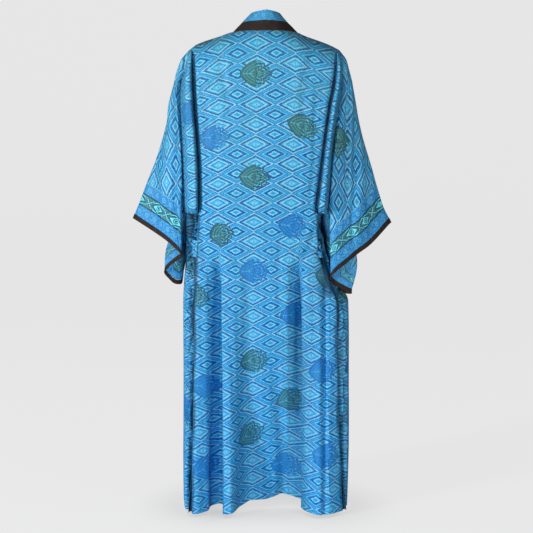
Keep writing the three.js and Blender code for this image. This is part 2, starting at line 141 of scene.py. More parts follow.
def curve(points, at, closed=False):
    """A centripetal curve through points (..., n, 3), read at shares from 0 to 1 of its run."""
    points = np.asarray(points, float)
    n = points.shape[-2]
    if closed:
        padded = np.concatenate([points[..., -1:, :], points, points[..., :2, :]], -2)
        place = np.mod(at, 1) * n
    else:
        first = 2 * points[..., :1, :] - points[..., 1:2, :]
        last = 2 * points[..., -1:, :] - points[..., -2:-1, :]
        padded = np.concatenate([first, points, last], -2)
        place = np.clip(at, 0, 1) * (n - 1)
    spans = n if closed else n - 1
    i = np.minimum(place.astype(int), spans - 1)
    t = (place - i)[..., None]
    padded = np.broadcast_to(padded, i.shape + padded.shape[-2:])
    a, b, c, d = (np.take_along_axis(padded, (i + k)[..., None, None], -2)[..., 0, :] for k in range(4))
    gap = [np.sqrt(np.linalg.norm(q - p, axis=-1, keepdims=True)) for p, q in ((a, b), (b, c), (c, d))]
    gap[1] = np.where(gap[1] < 1e-4, 1, gap[1])
    gap[0] = np.where(gap[0] < 1e-4, gap[1], gap[0])
    gap[2] = np.where(gap[2] < 1e-4, gap[1], gap[2])
    start = ((b - a) / gap[0] - (c - a) / (gap[0] + gap[1]) + (c - b) / gap[1]) * gap[1]
    end = ((c - b) / gap[1] - (d - b) / (gap[1] + gap[2]) + (d - c) / gap[2]) * gap[1]
    return b + start * t + (3 * (c - b) - 2 * start - end) * t**2 + (2 * (b - c) + start + end) * t**3


TOP = Table(  # the line over the shoulders and round the back of the neck
    ["x", "y", "z"],
    [
        [-205, 0, -47],
        [-186, 0, -33],
        [-127, -5, -13],
        [-87, -22, -1.5],
        [-60, -50, 0],
        [-30, -62, 0],
        [0, -66, 0],
        [30, -62, 0],
        [52, -50, 0],
        [75, -22, -1.5],
        [105, -5, -12],
        [167, 0, -34],
        [193, 0, -47],
    ],
)
# On each side: the edge of the raised fold, which goes on down as the side seam, the armhole's seam, and
# the widest line of the fronts.
SIDE_LEFT = Table(
    ["down", "tuck", "seam", "wide"],
    [
        [0, 197, 205, 214.5],
        [60, 195, 215, 222],
        [118, 193, 227, 222],
        [175, 190, 227, 222],
        [283, 183, 225, 222],
        [390, 179, 224, 217],
        [478, 179, 223, 214],
        [526, 181, 223, 214],
        [574, 185, 223, 212],
        [620, 188, 223, 217],
        [660, 190, 223, 221],
        [720, 191, 223, 225],
        [893, 194, 223, 225],
        [1090, 197, 223, 227],
        [1160, 199, 223, 228],
        [1290, 200, 223, 228],
    ],
)
SIDE_RIGHT = Table(
    ["down", "tuck", "seam", "wide"],
    [
        [0, 186, 193, 202],
        [60, 184, 199, 207],
        [118, 178, 197, 206],
        [175, 168, 189, 203],
        [283, 155, 177, 190],
        [390, 143, 171, 168],
        [478, 134, 167, 152],
        [526, 134, 167, 147],
        [574, 140, 167, 147],
        [600, 148, 167, 151],
        [640, 160, 167, 168],
        [660, 166, 167, 182],
        [700, 182, 167, 214],
        [720, 187, 167, 221],
        [893, 190, 167, 224],
        [1090, 196, 167, 226],
        [1160, 200, 167, 225],
        [1290, 206, 167, 222],
    ],
)
DEPTH = Table(  # how far behind and before the middle the cloth hangs
    ["down", "back", "front"],
    [
        [0, 105, 96],
        [75, 109, 100],
        [200, 117, 110],
        [350, 113, 111],
        [478, 106, 104],
        [574, 101, 96],
        [700, 101, 104],
        [1290, 101, 118],
    ],
)
HEM = Table(  # how the back waves at the hem, and how far the hem is lifted
    ["x", "y", "lift"],
    [
        [-205, -126, -2],
        [-190, -131, -2],
        [-165, -116, 0],
        [-135, -88, 2],
        [-124, -87, 2],
        [-116, -144, 0],
        [-98, -142, 1],
        [-68, -86, 5],
        [-45, -56, 13],
        [-7, -50, 14],
        [20, -45, 20],
        [43, -40, 26],
        [59, -44, 24],
        [75, -63, 16],
        [90, -94, 9],
        [106, -126, 4],
        [148, -150, 0],
        [181, -130, 0],
        [206, -106, 0],
    ],
)
OPENING = Table(  # the line where the neckband is sewn to the left front
    ["down", "x"],
    [
        [0, -87],
        [10, -89],
        [35, -85],
        [90, -68],
        [200, -34],
        [330, 4],
        [450, 36],
        [574, 60],
        [800, 66],
        [1290, 70],
    ],
)
BOW = Table(  # how far a sleeve bows outwards on its way to the cuff
    ["along", "left", "right"],
    [
        [0, 0, 0],
        [0.06, 13, 11],
        [0.12, 14, 10],
        [0.18, 11, 8],
        [0.29, 4, 2],
        [0.41, -4, -5],
        [0.53, -8, -8],
        [0.65, -9, -8],
        [0.77, -6, -9],
        [0.89, -4, -9],
        [1, 0, 0],
    ],
)
CUFF = {  # x, y, z and billow, row by row once round each cuff from the top fold
    "left": [
        [-362, 0, -497, 0],
        [-356, -9, -500, 0],
        [-304, -38, -530, 0],
        [-267, -60, -553, 0],
        [-245, -73, -570, 0],
        [-229, -80, -586, 0],
        [-226, -75, -596, 0],
        [-236, -68, -603, -4],
        [-262, -60, -623, -12],
        [-274, -54, -639, -17],
        [-264, -49, -655, -12],
        [-247, -43, -671, -4],
        [-232, -34, -673, 0],
        [-229, -8, -664, 0],
        [-231, 24, -648, 0],
        [-254, 52, -592, 0],
        [-300, 44, -538, 0],
        [-347, 16, -504, 0],
    ],
    "right": [
        [338, 0, -508, 0],
        [331, -9, -514, 0],
        [278, -42, -566, 0],
        [245, -58, -588, 0],
        [212, -74, -613, 0],
        [184, -84, -634, 0],
        [171, -84, -652, 0],
        [177, -78, -665, 14],
        [206, -71, -684, 36],
        [228, -65, -695, 45],
        [212, -59, -695, 36],
        [190, -55, -676, 14],
        [173, -49, -644, 0],
        [160, -22, -608, 0],
        [158, 10, -592, 0],
        [196, 42, -576, 0],
        [262, 44, -545, 0],
        [320, 16, -512, 0],
    ],
}


# ---------------------------------------------------------------- the garment's surfaces


def points(x, y, z):
    return np.stack(np.broadcast_arrays(x, y, z), -1).astype(float)


def side(column, x, down):
    return np.where(x < 0, SIDE_LEFT(column, down), SIDE_RIGHT(column, down))


def turned(down):
    return np.sqrt(1 - (1 - np.minimum(1, down / SHOULDER_ROUND)) ** 2)


def height_of(x, down):
    return -down + TOP("z", x) * np.maximum(0, 1 - down / UNDERARM)


def shoulder_fold(across, down):
    raised = 18 - 30 * smooth(across / 0.13) + 34 * smooth((across - 0.5) / 0.5)
    rolled_under = 14 * smooth((down - UNDERARM + 16) / 16)
    return (raised + rolled_under) * smooth(down / 30)


def back_point(x, down):
    x, down = np.broadcast_arrays(x, down)
    tuck = side("tuck", x, down)
    across = (np.abs(x) - tuck) / (side("seam", x, down) - tuck)
    hanging = -DEPTH("back", down) + 25 * (x / 200) ** 2
    waved = np.minimum(1, smooth((down - 480) / 1400) * 1.65)
    y = mix(hanging, HEM("y", x), waved)
    tucked = 18 * bump((tuck - np.abs(x)) / 7) * smooth(down / 30) * smooth((UNDERARM - down) / 30)
    y = y + np.where(down <= UNDERARM, np.where(across > 0, shoulder_fold(across, down), tucked), 0)
    z = height_of(x, down) + HEM("lift", x) * smooth((down - UNDERARM) / (HEM_DOWN - UNDERARM))
    return points(x, mix(TOP("y", x), y, turned(down)), z)


def front_point(x, down, layer):
    wide = side("wide", x, down)
    rounded = DEPTH("front", down) * (1 - np.minimum(1, np.abs(x / wide)) ** FRONT_CURVE) ** (1 / FRONT_CURVE)
    y = rounded + layer * LAPPED * smooth((wide * FRONT_ARMHOLE - np.abs(x)) / 14)
    return points(x, mix(TOP("y", x), y, turned(down)), height_of(x, down))


def side_curve(sign, down, at):
    """The side of a front below the armhole at each depth, from its front (0) round to the side seam (1)."""
    wide, tuck = side("wide", sign, down), side("tuck", sign, down)
    front = front_point(sign * wide * FRONT_ARMHOLE, down, 0)
    seam = back_point(sign * tuck, down)[..., 1]
    opened = SLIT_OPEN * smooth((down - SIDE_SLIT) / (HEM_DOWN - SIDE_SLIT))
    z = front[..., 2]
    control = [
        front,
        points(sign * wide, 6, z),
        points(sign * (wide - 1), -26, z),
        points(sign * mix(tuck, wide, 0.6), seam + 34, z),
        points(sign * mix(tuck, wide, 0.25), seam + 25, z),
        points(sign * (tuck + 1.2 + opened), seam + 14, z),
        points(sign * (tuck + 0.3 + opened), seam + 2.2, z),
    ]
    return curve(np.stack(control, -2), at)


def armhole_ring(sign, near, between, far):
    """Points round an armhole: down the back seam, under the arm and up the front seam."""

    def back_at(down):
        return back_point(sign * side("seam", sign, down), down)

    def front_at(down):
        return front_point(sign * side("wide", sign, down) * FRONT_ARMHOLE, down, 0)

    back, front = back_at(near), front_at(far)
    bottom = np.array([UNDERARM])
    last, first = back_at(bottom)[0], front_at(bottom)[0]
    last[0] += sign * 1.2
    wide = float(side("wide", sign, UNDERARM)) + 2.4
    under = [
        last,
        [sign * mix(abs(last[0]), wide, 0.5), last[1] + 22, -UNDERARM + 2],
        [sign * wide, -26, -UNDERARM + 2],
        [sign * wide, 8, -UNDERARM + 2],
        first,
    ]
    middle = curve(under, (between - FIRST_FOLD) / (FAR_LAYER - FIRST_FOLD))
    back[:, 0] += sign * 0.5
    front[:, 0] += sign * 0.5
    return np.concatenate([back, middle, front])


def sleeve_stations(count_near, count_between, count_far):
    """Places round a sleeve as rows of CUFF, and the depths where the armhole's seams meet them."""
    near = np.linspace(0, 1, count_near)
    far = np.linspace(1, 0, count_far + 1)[:-1]
    rows = len(CUFF["left"])
    between = np.linspace(FIRST_FOLD, FAR_LAYER, count_between + 2)[1:-1]
    station = np.concatenate([FIRST_FOLD * near, between, rows - (rows - FAR_LAYER) * far])
    return station, UNDERARM * near**1.25, between, UNDERARM * far**1.25


def sleeve_grid(sign, shares, short, stations):
    """Rings of a sleeve from the armhole (0) to a line a given distance short of the cuff's edge (1)."""
    name = "left" if sign < 0 else "right"
    station, near, between, far = stations
    rows = np.array(CUFF[name], float)
    at = station / len(rows)
    edge = curve(rows[:, :3], at, closed=True)
    billow = curve(np.stack([rows[:, 3]] * 3, -1), at, closed=True)[:, 0]
    armhole = armhole_ring(sign, near, between, far)
    from_top = np.minimum(station, len(rows) - station)
    length = np.linalg.norm(edge - armhole, axis=-1)
    along = np.asarray(shares)[:, None] * (1 - short / length)
    p = armhole + (edge - armhole) * along[..., None]
    p[..., 0] += sign * BOW(name, along) * (1 - smooth(from_top / 4.5))
    p[..., 0] += billow * (4 * along * (1 - along)) ** 1.5
    swung = smooth(along / 0.22) * (1 - smooth((along - 0.6) / 0.35))
    p[..., 0] -= sign * INNER_SWING * bump((station - INNER_SIDE) / 1.1) * swung
    return p


def band_point(layer, down, x, width):
    """Across the neckband: standing up round the neck, lying on the front below it."""
    lying = front_point(x + layer * width, down, layer)
    neck = points(x, TOP("y", x), TOP("z", x))
    base = np.where((layer == 0)[..., None], neck, front_point(x, down, layer))
    lean = points(-base[..., 0] * 0.0098, -base[..., 1] * 0.0045, 1 - np.abs(base[..., 0]) * 0.0014)
    stood = base + lean * width[..., None]
    standing = np.where(layer == 0, 1, 1 - smooth((down - 4) / 120))
    return lying + (stood - lying) * standing[..., None]


def belt_ring(down, steps):
    """One level of the belt: round the outside of the fronts and, through slots, inside the back."""

    def outwards(p):
        out = p[:2] / np.linalg.norm(p[:2])
        return [p[0] + out[0] * BELT_CLEAR, p[1] + out[1] * BELT_CLEAR, -down]

    level = np.array([float(down)])

    def over_front(share):
        return outwards(front_point(share * side("wide", share, level), level, 1)[0])

    def flank(sign):
        run = [side_curve(sign, level, np.array([f]))[0] for f in (0.03, 0.2, 0.36, 0.52, 0.66, 0.9)]
        return [outwards(p) for p in run[:-1]] + [[run[-1][0], run[-1][1], -down]]

    def behind(x):
        return [x, float(back_point(np.array([x]), level)[0, 1]) + BELT_INSIDE, -down]

    across = (0.93, 0.88, 0.8, 0.66, 0.45, 0.2, -0.1, -0.4, -0.62, -0.78, -0.88, -0.93)
    front = [over_front(share) for share in across]
    left, right = (sign * (float(side("tuck", sign, level)[0]) - 12) for sign in (-1, 1))
    inside = [behind(x) for x in (left, -90.0, 0.0, 70.0, right)]
    ring = front + flank(-1) + inside + flank(1)[::-1]
    return curve(ring, np.arange(steps) / steps, closed=True)


# ---------------------------------------------------------------- creases, placed one by one


def crease(x, down, rows):
    """How far outwards a table of creases moves the cloth: soft troughs, each with a ridge beside it."""
    moved = np.zeros(np.broadcast(x, down).shape)
    for x0, down0, x1, down1, width, depth, ridge in rows:
        run = math.hypot(x1 - x0, down1 - down0)
        along = ((x - x0) * (x1 - x0) + (down - down0) * (down1 - down0)) / run**2
        off = ((x - x0) * (down1 - down0) - (down - down0) * (x1 - x0)) / run
        off = off + width * 0.5 * np.sin(along * 7 + x0)
        fade = smooth(along / 0.22) * smooth((1 - along) / 0.22)
        lifted = abs(ridge) * bump((off - math.copysign(1.9 * width, ridge)) / (1.4 * width))
        moved = moved + depth * fade * (lifted - bump(off / width))
    return moved


def crumple(x, down, height, seed):
    """Short sharp wrinkles that cross a strip of cloth at changing slants."""
    rng = np.random.default_rng(seed)
    moved = 0
    for wave in (58, 37, 25):
        slant, start, sway = rng.uniform(0.5, 1.3), rng.uniform(0, 6), rng.uniform(60, 140)
        slanted = down + slant * x * np.sin(down / sway + start)
        phase = slanted / wave * 2 * math.pi + 1.3 * np.sin(x / 13 + start)
        moved = moved + (wave / 58) * (0.6 - np.abs(np.sin(phase / 2)) ** 0.7)
    return moved * height


def ripple(x, down, height, seed):
    """Low, uneven waves that mostly run down the cloth."""
    rng = np.random.default_rng(seed)
    moved = 0
    for wave in (190, 120, 78, 47, 30):
        turn, across, start = rng.uniform(-1, 1, 3) * (1, 0.35, math.pi)
        bent = x + 0.18 * wave * np.sin(down / (wave * 1.9) + turn * 3)
        phase = 2 * math.pi * (bent + across * down / 3) / wave + start
        moved = moved + np.sin(phase) * (wave / 190) ** 0.9 * height
    return moved


def overlap(x, down, rows):
    """Folds whose edge stands out and whose other side goes behind it: how far the cloth is moved."""
    moved = np.zeros(np.broadcast(x, down).shape)
    for edge, start, drop, reach, _ in rows:
        behind = edge - x
        profile = smooth(behind / 8) * (1 - smooth((behind - 3) / reach))
        moved = moved - drop * profile * smooth((down - start) / 110)
    return moved


VALLEY = {"tuck": 18, "seam": 12}  # beside the raised fold at each armhole
BACK_FOLDS = [  # x of the edge, depth where it starts, drop behind it, how far the drop reaches, cloth hidden
    [-119, 570, 38, 40, 26],
    [94, 580, 34, 38, 30],
    [166, 640, 14, 24, 0],
]
# x and depth of each end, width, depth of the trough (a ridge where it is below 0), and the side and size
# of the ridge beside it
BACK_CREASES = [
    [146, 560, 176, 716, 11, 20, 0.0],
    [20, 860, 52, 1420, 14, 4, 0.5],
    [-62, 900, -74, 1420, 12, 3.5, -0.5],
    [-120, 30, -96, 250, 10, 2.4, 0.5],
    [118, 24, 84, 260, 10, 2.4, -0.5],
    [-168, 90, -158, 380, 8, 2.2, 0.6],
    [138, 110, 112, 470, 8, 2.6, -0.6],
    [-150, 500, -60, 640, 9, 2.2, 0.5],
    [140, 500, 66, 660, 9, 2.4, -0.5],
    [-176, 470, -150, 760, 7, 2.6, 0.6],
    [30, 540, 34, 820, 10, 1.8, 0.6],
    [-60, 600, -44, 960, 9, 1.6, -0.6],
    [-100, 640, -92, 1180, 8, 2.2, 0.7],
    [122, 600, 126, 1240, 8, 2.2, -0.6],
]
LEFT_SIDE_CREASES = [  # the same for the sides of the fronts, with x as the distance from the side seam
    [39, 400, 41, 566, 15, 15, 0.0],
    [19, 440, 19, 1420, 7, 15, 0.0],
    [22, 470, 36, 552, 2.6, 8, 0.6],
    [28, 470, 37, 552, 2.4, 8, 0.6],
    [34, 470, 39, 552, 2.4, 9, -0.5],
    [40, 470, 42, 552, 2.6, 9, -0.5],
    [47, 470, 45, 552, 2.8, 9, -0.5],
    [55, 470, 49, 552, 3.2, 8, -0.5],
    [22, 536, 56, 588, 3.6, 10, 0.6],
    [58, 534, 20, 590, 3.6, 10, -0.6],
    [22, 590, 50, 664, 4.5, 5, 0.7],
    [52, 612, 26, 726, 4.5, 5, -0.7],
    [24, 700, 54, 764, 4, 4.5, 0.6],
    [54, 740, 24, 828, 4.5, 5, -0.6],
    [22, 800, 50, 880, 4, 4.5, 0.6],
    [52, 850, 26, 960, 5, 5, -0.6],
    [24, 930, 48, 1040, 5, 4, 0.6],
    [46, 1000, 28, 1130, 5, 4.5, -0.6],
    [30, 1060, 34, 1420, 6, 5, 0.7],
    [48, 1120, 46, 1420, 5, 3.5, -0.5],
    [38, 620, 38, 1060, 6, 3.5, 0.6],
]
RIGHT_SIDE_CREASES = [
    [20, 700, 20, 1420, 7, 14, 0.0],
    [20, 500, 24, 716, 9, -15, 0.0],
    [38, 560, 46, 730, 4, 6, 0.0],
    [28, 690, 52, 800, 5, 5, 0.6],
    [52, 720, 28, 860, 5, 4.5, -0.6],
    [30, 820, 44, 1000, 5, 4.5, 0.7],
    [50, 880, 30, 1080, 6, 4, -0.6],
    [30, 960, 34, 1420, 7, 4.5, 0.6],
    [48, 1060, 44, 1420, 6, 3.5, -0.5],
]
FRONT_CREASES = [  # on both fronts, with x as the distance from the middle
    [60, 480, 30, 560, 8, 5, 0.5],
    [104, 470, 96, 560, 8, 5, 0.5],
    [146, 480, 160, 556, 7, 4, 0.5],
    [20, 590, 36, 760, 9, 6, 0.6],
    [88, 590, 96, 900, 9, 6, 0.7],
    [128, 590, 140, 1060, 10, 5, -0.6],
    [60, 600, 62, 1400, 12, 6, 0.7],
    [170, 640, 178, 1400, 10, 5, -0.6],
    [104, 800, 116, 1400, 12, 5, 0.6],
    [150, 60, 130, 380, 12, 5, 0.6],
    [110, 120, 88, 460, 11, 4, -0.6],
]
SLEEVE_CREASES = {  # x from the armhole outwards and depth, down the near layer and again down the far one
    "left": [
        [22, 60, 44, 440, 10, 5, 0.7],
        [62, 150, 100, 470, 12, 5, -0.6],
        [6, 120, 8, 470, 6, 4, 0.7],
        [40, 360, 32, 600, 6, 5, 0.6],
        [88, 360, 84, 560, 8, 4, -0.5],
    ],
    "right": [
        [10, 40, 8, 470, 5, 6, 0.9],
        [26, 60, 30, 490, 8, 4, 0.6],
        [50, 120, 66, 500, 11, 5, -0.6],
        [90, 180, 102, 500, 10, 4, 0.6],
        [24, 440, 34, 650, 7, 4, 0.6],
        [70, 440, 76, 600, 8, 4, -0.5],
    ],
}


# ---------------------------------------------------------------- the print's places on the cloth

PRINT_RUN = Table(  # where the middle column of the lattice runs on the back, and the ease of the cloth
    ["down", "centre", "ease"],
    [
        [0, -24, 0.992],
        [300, -28, 1.02],
        [560, -34, 1.05],
        [740, -35.5, 1.075],
        [1130, -38, 1.0],
        [1280, -39, 1.0],
    ],
)
GREEN, BLUE = 1, 2
BACK_MEDALLIONS = [  # x, depth, colour and tilt
    [-27, 114, GREEN, 0],
    [95, 246, GREEN, 12],
    [-31, 382, GREEN, 4],
    [-152, -20, GREEN, 10],
    [-122, 534, GREEN, -10],
    [-190, 698, GREEN, 14],
    [-33, 880, GREEN, -4],
    [64, 998, GREEN, -24],
    [-46, 1087, GREEN, -22],
    [172, 646, GREEN, 10],
    [-136, 272, BLUE, 6],
    [-207, 190, BLUE, 20],
    [-33, 632, BLUE, 0],
    [71, 511, BLUE, 8],
    [75, 755, BLUE, -6],
    [-163, 941, BLUE, 10],
    [-160, 1162, BLUE, -12],
    [52, 1190, BLUE, 6],
    [160, 1124, BLUE, 10],
    [148, 897, BLUE, -8],
]
SIDE_MEDALLIONS = {  # the same on the sides of the fronts, with x as the distance from the side seam
    "left": [[16, 618, GREEN, 20], [60, 1010, BLUE, 0]],
    "right": [[36, 692, GREEN, 0], [84, 900, BLUE, 8]],
}
FRONT_MEDALLIONS = [  # on both fronts, with x as the distance from the middle
    [150, 96, GREEN, 8],
    [96, 262, BLUE, 0],
    [164, 410, GREEN, -10],
    [42, 470, BLUE, 6],
    [120, 650, GREEN, 12],
    [34, 742, BLUE, 0],
    [166, 842, BLUE, -8],
    [88, 930, GREEN, 10],
    [30, 1030, GREEN, -6],
    [150, 1096, GREEN, 0],
    [86, 1196, BLUE, 10],
]
SLEEVE_MEDALLIONS = {  # on the near layer of each sleeve, with x from the middle and the level
    "left": [[-258, 160, GREEN, 0]],
    "right": [[188, 290, GREEN, 0]],
}


# ---------------------------------------------------------------- meshes from grids


def arc(grid, axis):
    """Length along one axis of a grid, from its first line."""
    step = np.linalg.norm(np.diff(grid, axis=axis), axis=-1)
    first = np.zeros_like(np.take(step, [0], axis=axis))
    return np.concatenate([first, np.cumsum(step, axis=axis)], axis=axis)


def closed_up(grid):
    """A grid with its first column again at its end."""
    return np.concatenate([grid, grid[:, :1]], 1)


def facing_out(grid, way, closed=False):
    """The direction that the outside of the cloth faces at each point of a grid."""
    if closed:
        wide = np.concatenate([grid[:, -1:], grid, grid[:, :1]], 1)
        across = (wide[:, 2:] - wide[:, :-2]) / 2
    else:
        across = np.gradient(grid, axis=1)
    normal = np.cross(np.gradient(grid, axis=0), across) * way
    return normal / np.maximum(1e-9, np.linalg.norm(normal, axis=-1, keepdims=True))


def cloth(name, grid, way, maps, paints, thick=SILK, keep=None, closed=False, medallions=(), shaded=0.0):
    """A sheet of cloth on a grid of points, as a thin wall with its print's own maps.

    Shaded says how much the silk's own colour is darkened at each point, from 0 for not at all. It is
    painted on and doesn't come from the lights.
    """
    rows, columns = grid.shape[:2]
    i, j = np.meshgrid(np.arange(rows - 1), np.arange(columns - (not closed)), indexing="ij")
    corners = [(i, j), (i, j + 1), (i + 1, j + 1), (i + 1, j)][:: -1 if way > 0 else 1]
    point = np.stack([a * columns + b % columns for a, b in corners], -1)
    place = np.stack([a * (columns + closed) + b for a, b in corners], -1)
    if keep is not None:
        point, place = point[keep], place[keep]
    point, place = point.reshape(-1, 4), place.reshape(-1, 4)
    used, point = np.unique(point, return_inverse=True)
    mesh = bpy.data.meshes.new(name)
    vertices = grid.reshape(-1, 3)[used] * MILLIMETRE
    mesh.from_pydata(vertices.tolist(), [], point.reshape(-1, 4).tolist())
    laid = {key: value.reshape(-1, 2)[place] for key, value in maps.items()}
    offset = np.full_like(laid["Cloth"], NOWHERE)
    # Kind carries each medallion's colour and, second, the painted shade.
    kind = np.zeros_like(offset)
    kind[..., 1] = np.broadcast_to(shaded, maps["Cloth"].shape[:2]).ravel()[place]
    if len(medallions):
        u, v, printed, tilt = np.array(medallions, float).T
        middle = laid["Cloth"].mean(1)
        nearest = np.argmin(np.hypot(middle[:, :1] - u, middle[:, 1:] - v), 1)
        turn = np.radians(tilt)[nearest][:, None]
        du = laid["Cloth"][..., 0] - u[nearest][:, None]
        dv = laid["Cloth"][..., 1] - v[nearest][:, None]
        offset = stack(du * np.cos(turn) + dv * np.sin(turn), dv * np.cos(turn) - du * np.sin(turn))
        kind[..., 0] = printed[nearest][:, None]
    laid.setdefault("Border", np.full_like(offset, NOWHERE))
    for key, value in {**laid, "Motif": offset, "Kind": kind}.items():
        mesh.uv_layers.new(name=key).data.foreach_set("uv", value.astype(np.float32).ravel())
    mesh.shade_smooth()
    for paint in paints:
        mesh.materials.append(paint)
    piece = bpy.data.objects.new(name + "_cloth", mesh)
    bpy.context.collection.objects.link(piece)
    wall = piece.modifiers.new("Wall", "SOLIDIFY")
    wall.thickness = thick * MILLIMETRE
    wall.offset = 0
    wall.material_offset = 1
    apply_modifiers(piece)
    piece.data.set_sharp_from_angle(angle=math.radians(50))
    return piece


def apply_modifiers(piece):
    bpy.context.view_layer.objects.active = piece
    for modifier in list(piece.modifiers):
        bpy.ops.object.modifier_apply(modifier=modifier.name)


def nearest_place(x, down, u, v, rows):
    """The print's own coordinates of places that a table gives as x and depth."""
    found = []
    for at_x, at_down, *rest in rows:
        k = np.argmin((x - at_x) ** 2 + (down - at_down) ** 2)
        found.append((u.ravel()[k], v.ravel()[k] + at_down - down.ravel()[k], *rest))
    return found


def stack(u, v):
    return np.stack(np.broadcast_arrays(u, v), -1)


def printed_row(down):
    """Distance down the print, which is eased in a little over the shoulders."""
    return down - 0.035 * np.minimum(down, 200) - FIRST_ROW


# ---------------------------------------------------------------- the pieces


def row_depths():
    """Depths of the rows of a panel, closer together at the shoulders, and the row under the arm."""
    upper = UNDERARM * np.linspace(0, 1, 96) ** 1.5
    return np.concatenate([upper, np.linspace(UNDERARM, HEM_DOWN, 161)[1:]]), len(upper) - 1


def valley_run(down):
    """Where the valleys beside a raised fold run: from the shoulder to the underarm."""
    return smooth((down - 20) / 90) * smooth((UNDERARM + 4 - down) / 14)


def valleys(x, down):
    """How much deeper the cloth goes at both edges of the raised fold beside each armhole."""
    at_tuck = VALLEY["tuck"] * bump((np.abs(x) - side("tuck", x, down) + 1) / 5)
    at_seam = VALLEY["seam"] * bump((np.abs(x) - side("seam", x, down)) / 7)
    return (at_tuck + at_seam) * valley_run(down)


def back_columns(down):
    """x of every point of the back: on each side the raised fold and the cloth beside it, and the middle."""
    fold_columns, side_columns, middle_columns = BACK_COLUMNS
    halves = []
    for sign, start in zip((-1, 1), BACK_MIDDLE):
        tuck, seam = side("tuck", sign, down) - SEAM_HALF, side("seam", sign, down) - SEAM_HALF
        fold = sign * mix(seam[:, None], tuck[:, None], np.linspace(0, 1, fold_columns + 1)[None])
        beside = mix(sign * tuck[:, None], start, np.linspace(0, 1, side_columns)[None])
        halves += [fold, beside]
    left_fold, left, right_fold, right = halves
    middle = np.tile(np.linspace(*BACK_MIDDLE, middle_columns), (len(down), 1))
    return np.concatenate([left_fold, left[:, 1:-1], middle, right[:, -2:0:-1], right_fold[:, ::-1]], 1)


def back_print(x, depth, run):
    """Distance across the print, which moves on by the cloth that each fold hides."""
    centre = PRINT_RUN("centre", depth[:, 0])
    at_centre = np.array([np.interp(c, row, r) for c, row, r in zip(centre, x, run)])
    u = (run - at_centre[:, None]) * PRINT_RUN("ease", depth[:, 0])[:, None]
    for edge, start, _, _, hidden in BACK_FOLDS:
        way = 1 if edge > 0 else -1
        taken = smooth((depth - start + 100) / 120) * (1 if edge > 0 else smooth((900 - depth) / 400))
        u = u + way * hidden * smooth(way * (x - edge + 4) / 8 + 0.5) * taken
    return u


def back_shade(x, depth):
    """Painted shade on the back: in its creases, behind a fold, at its sides and below the right arm."""
    in_creases = 0.75 * np.clip(-crease(x, depth, BACK_CREASES) / 16, 0, 1)
    in_valleys = 0.35 * np.clip(valleys(x, depth) / 14, 0, 1)
    behind_fold = 0.55 * bump((x - 86) / 24) * smooth((depth - 640) / 240)
    to_edge = side("tuck", x, depth) - np.abs(x) - 2 - 2 * np.sin(depth / 31)
    at_sides = 0.9 * (1 - smooth(to_edge / 5)) * smooth((depth - UNDERARM) / 8)
    below_right_arm = 0.5 * bump((x - 144 - (depth - 655) / 8) / 17) * bump((depth - 655) / 70)
    return in_creases + in_valleys + behind_fold + at_sides + below_right_arm


def make_back():
    down, armhole = row_depths()
    x = back_columns(down)
    depth = np.tile(down[:, None], (1, x.shape[1]))
    flat = back_point(x, depth)
    from_edge = np.minimum(x - x[:, :1], x[:, -1:] - x)
    inside = smooth(from_edge / 26) * smooth(depth / 40)
    moved = crease(x, depth, BACK_CREASES) * inside + overlap(x, depth, BACK_FOLDS)
    moved = moved + ripple(x, depth, 1.0, 11) * inside * (0.5 + 0.5 * smooth((depth - 420) / 500))
    grid = flat + facing_out(flat, 1) * moved[..., None]
    grid[..., 1] += valleys(x, depth)

    u, v = back_print(x, depth, arc(flat * (1, 1, 0), 1)), printed_row(depth)
    folds = BACK_COLUMNS[0]
    keep = np.ones((len(down) - 1, x.shape[1] - 1), bool)
    keep[armhole:, :folds] = False
    keep[armhole:, -folds:] = False
    return cloth(
        "back_panel",
        grid,
        1,
        {"Cloth": stack(u, v)},
        (silk, wrong_side),
        keep=keep,
        medallions=nearest_place(x, depth, u, v, BACK_MEDALLIONS),
        shaded=back_shade(x, depth),
    )


def front_form(sign, down, armhole):
    """A front's smooth form, from its neckband edge round to the side seam, and its column at the armhole."""
    turned_in = 5 * (1 - smooth(down / 70))  # under the neckband at the shoulder
    start, end = -sign * (OPENING("x", down) + turned_in), sign * side("wide", sign, down) * FRONT_ARMHOLE
    x = mix(start[:, None], end[:, None], np.linspace(0, 1, FRONT_COLUMNS)[None])
    front = front_point(x, np.tile(down[:, None], (1, FRONT_COLUMNS)), -sign)
    shares = np.linspace(0, 1, FLANK_COLUMNS + 1)[1:]
    low = np.tile(np.maximum(down, UNDERARM + 2)[:, None], (1, FLANK_COLUMNS))
    flank = side_curve(sign, low, np.tile(shares[None], (len(down), 1)))
    lowered = np.where(np.arange(len(down)) == armhole, 2.6, 0)[:, None] * smooth(shares / 0.3)[None]
    flank[..., 2] = -down[:, None] - lowered
    return np.concatenate([front, flank], 1), FRONT_COLUMNS - 1


def side_shade(sign, from_seam, depth, creases, crumpled):
    """Painted shade on the sides of the fronts: beside the back, under the arm and in their creases."""
    width = 25 if sign < 0 else 19
    beside_back = 1 - smooth((from_seam - width - 3 * np.sin(depth / 37) - 2 * np.sin(depth / 23)) / 4)
    beside_back = beside_back * smooth((depth - 572) / 24)
    if sign < 0:
        under_arm = 0.8 * smooth((508 - depth) / 24) + 0.25 * smooth((560 - depth) / 30)
    else:
        under_arm = bump((depth - 548) / 62)
    # The first crease lies where one of the two above already darkens.
    fine = crease(from_seam, depth, creases[1:]) + crumple(from_seam, depth, 6, 5) * crumpled
    in_creases = 0.9 * np.clip(-fine / 10, 0, 1)
    shaded = (beside_back * 0.9 + under_arm + in_creases) * smooth((70 - from_seam) / 20)
    return shaded * smooth((depth - UNDERARM) / 8)


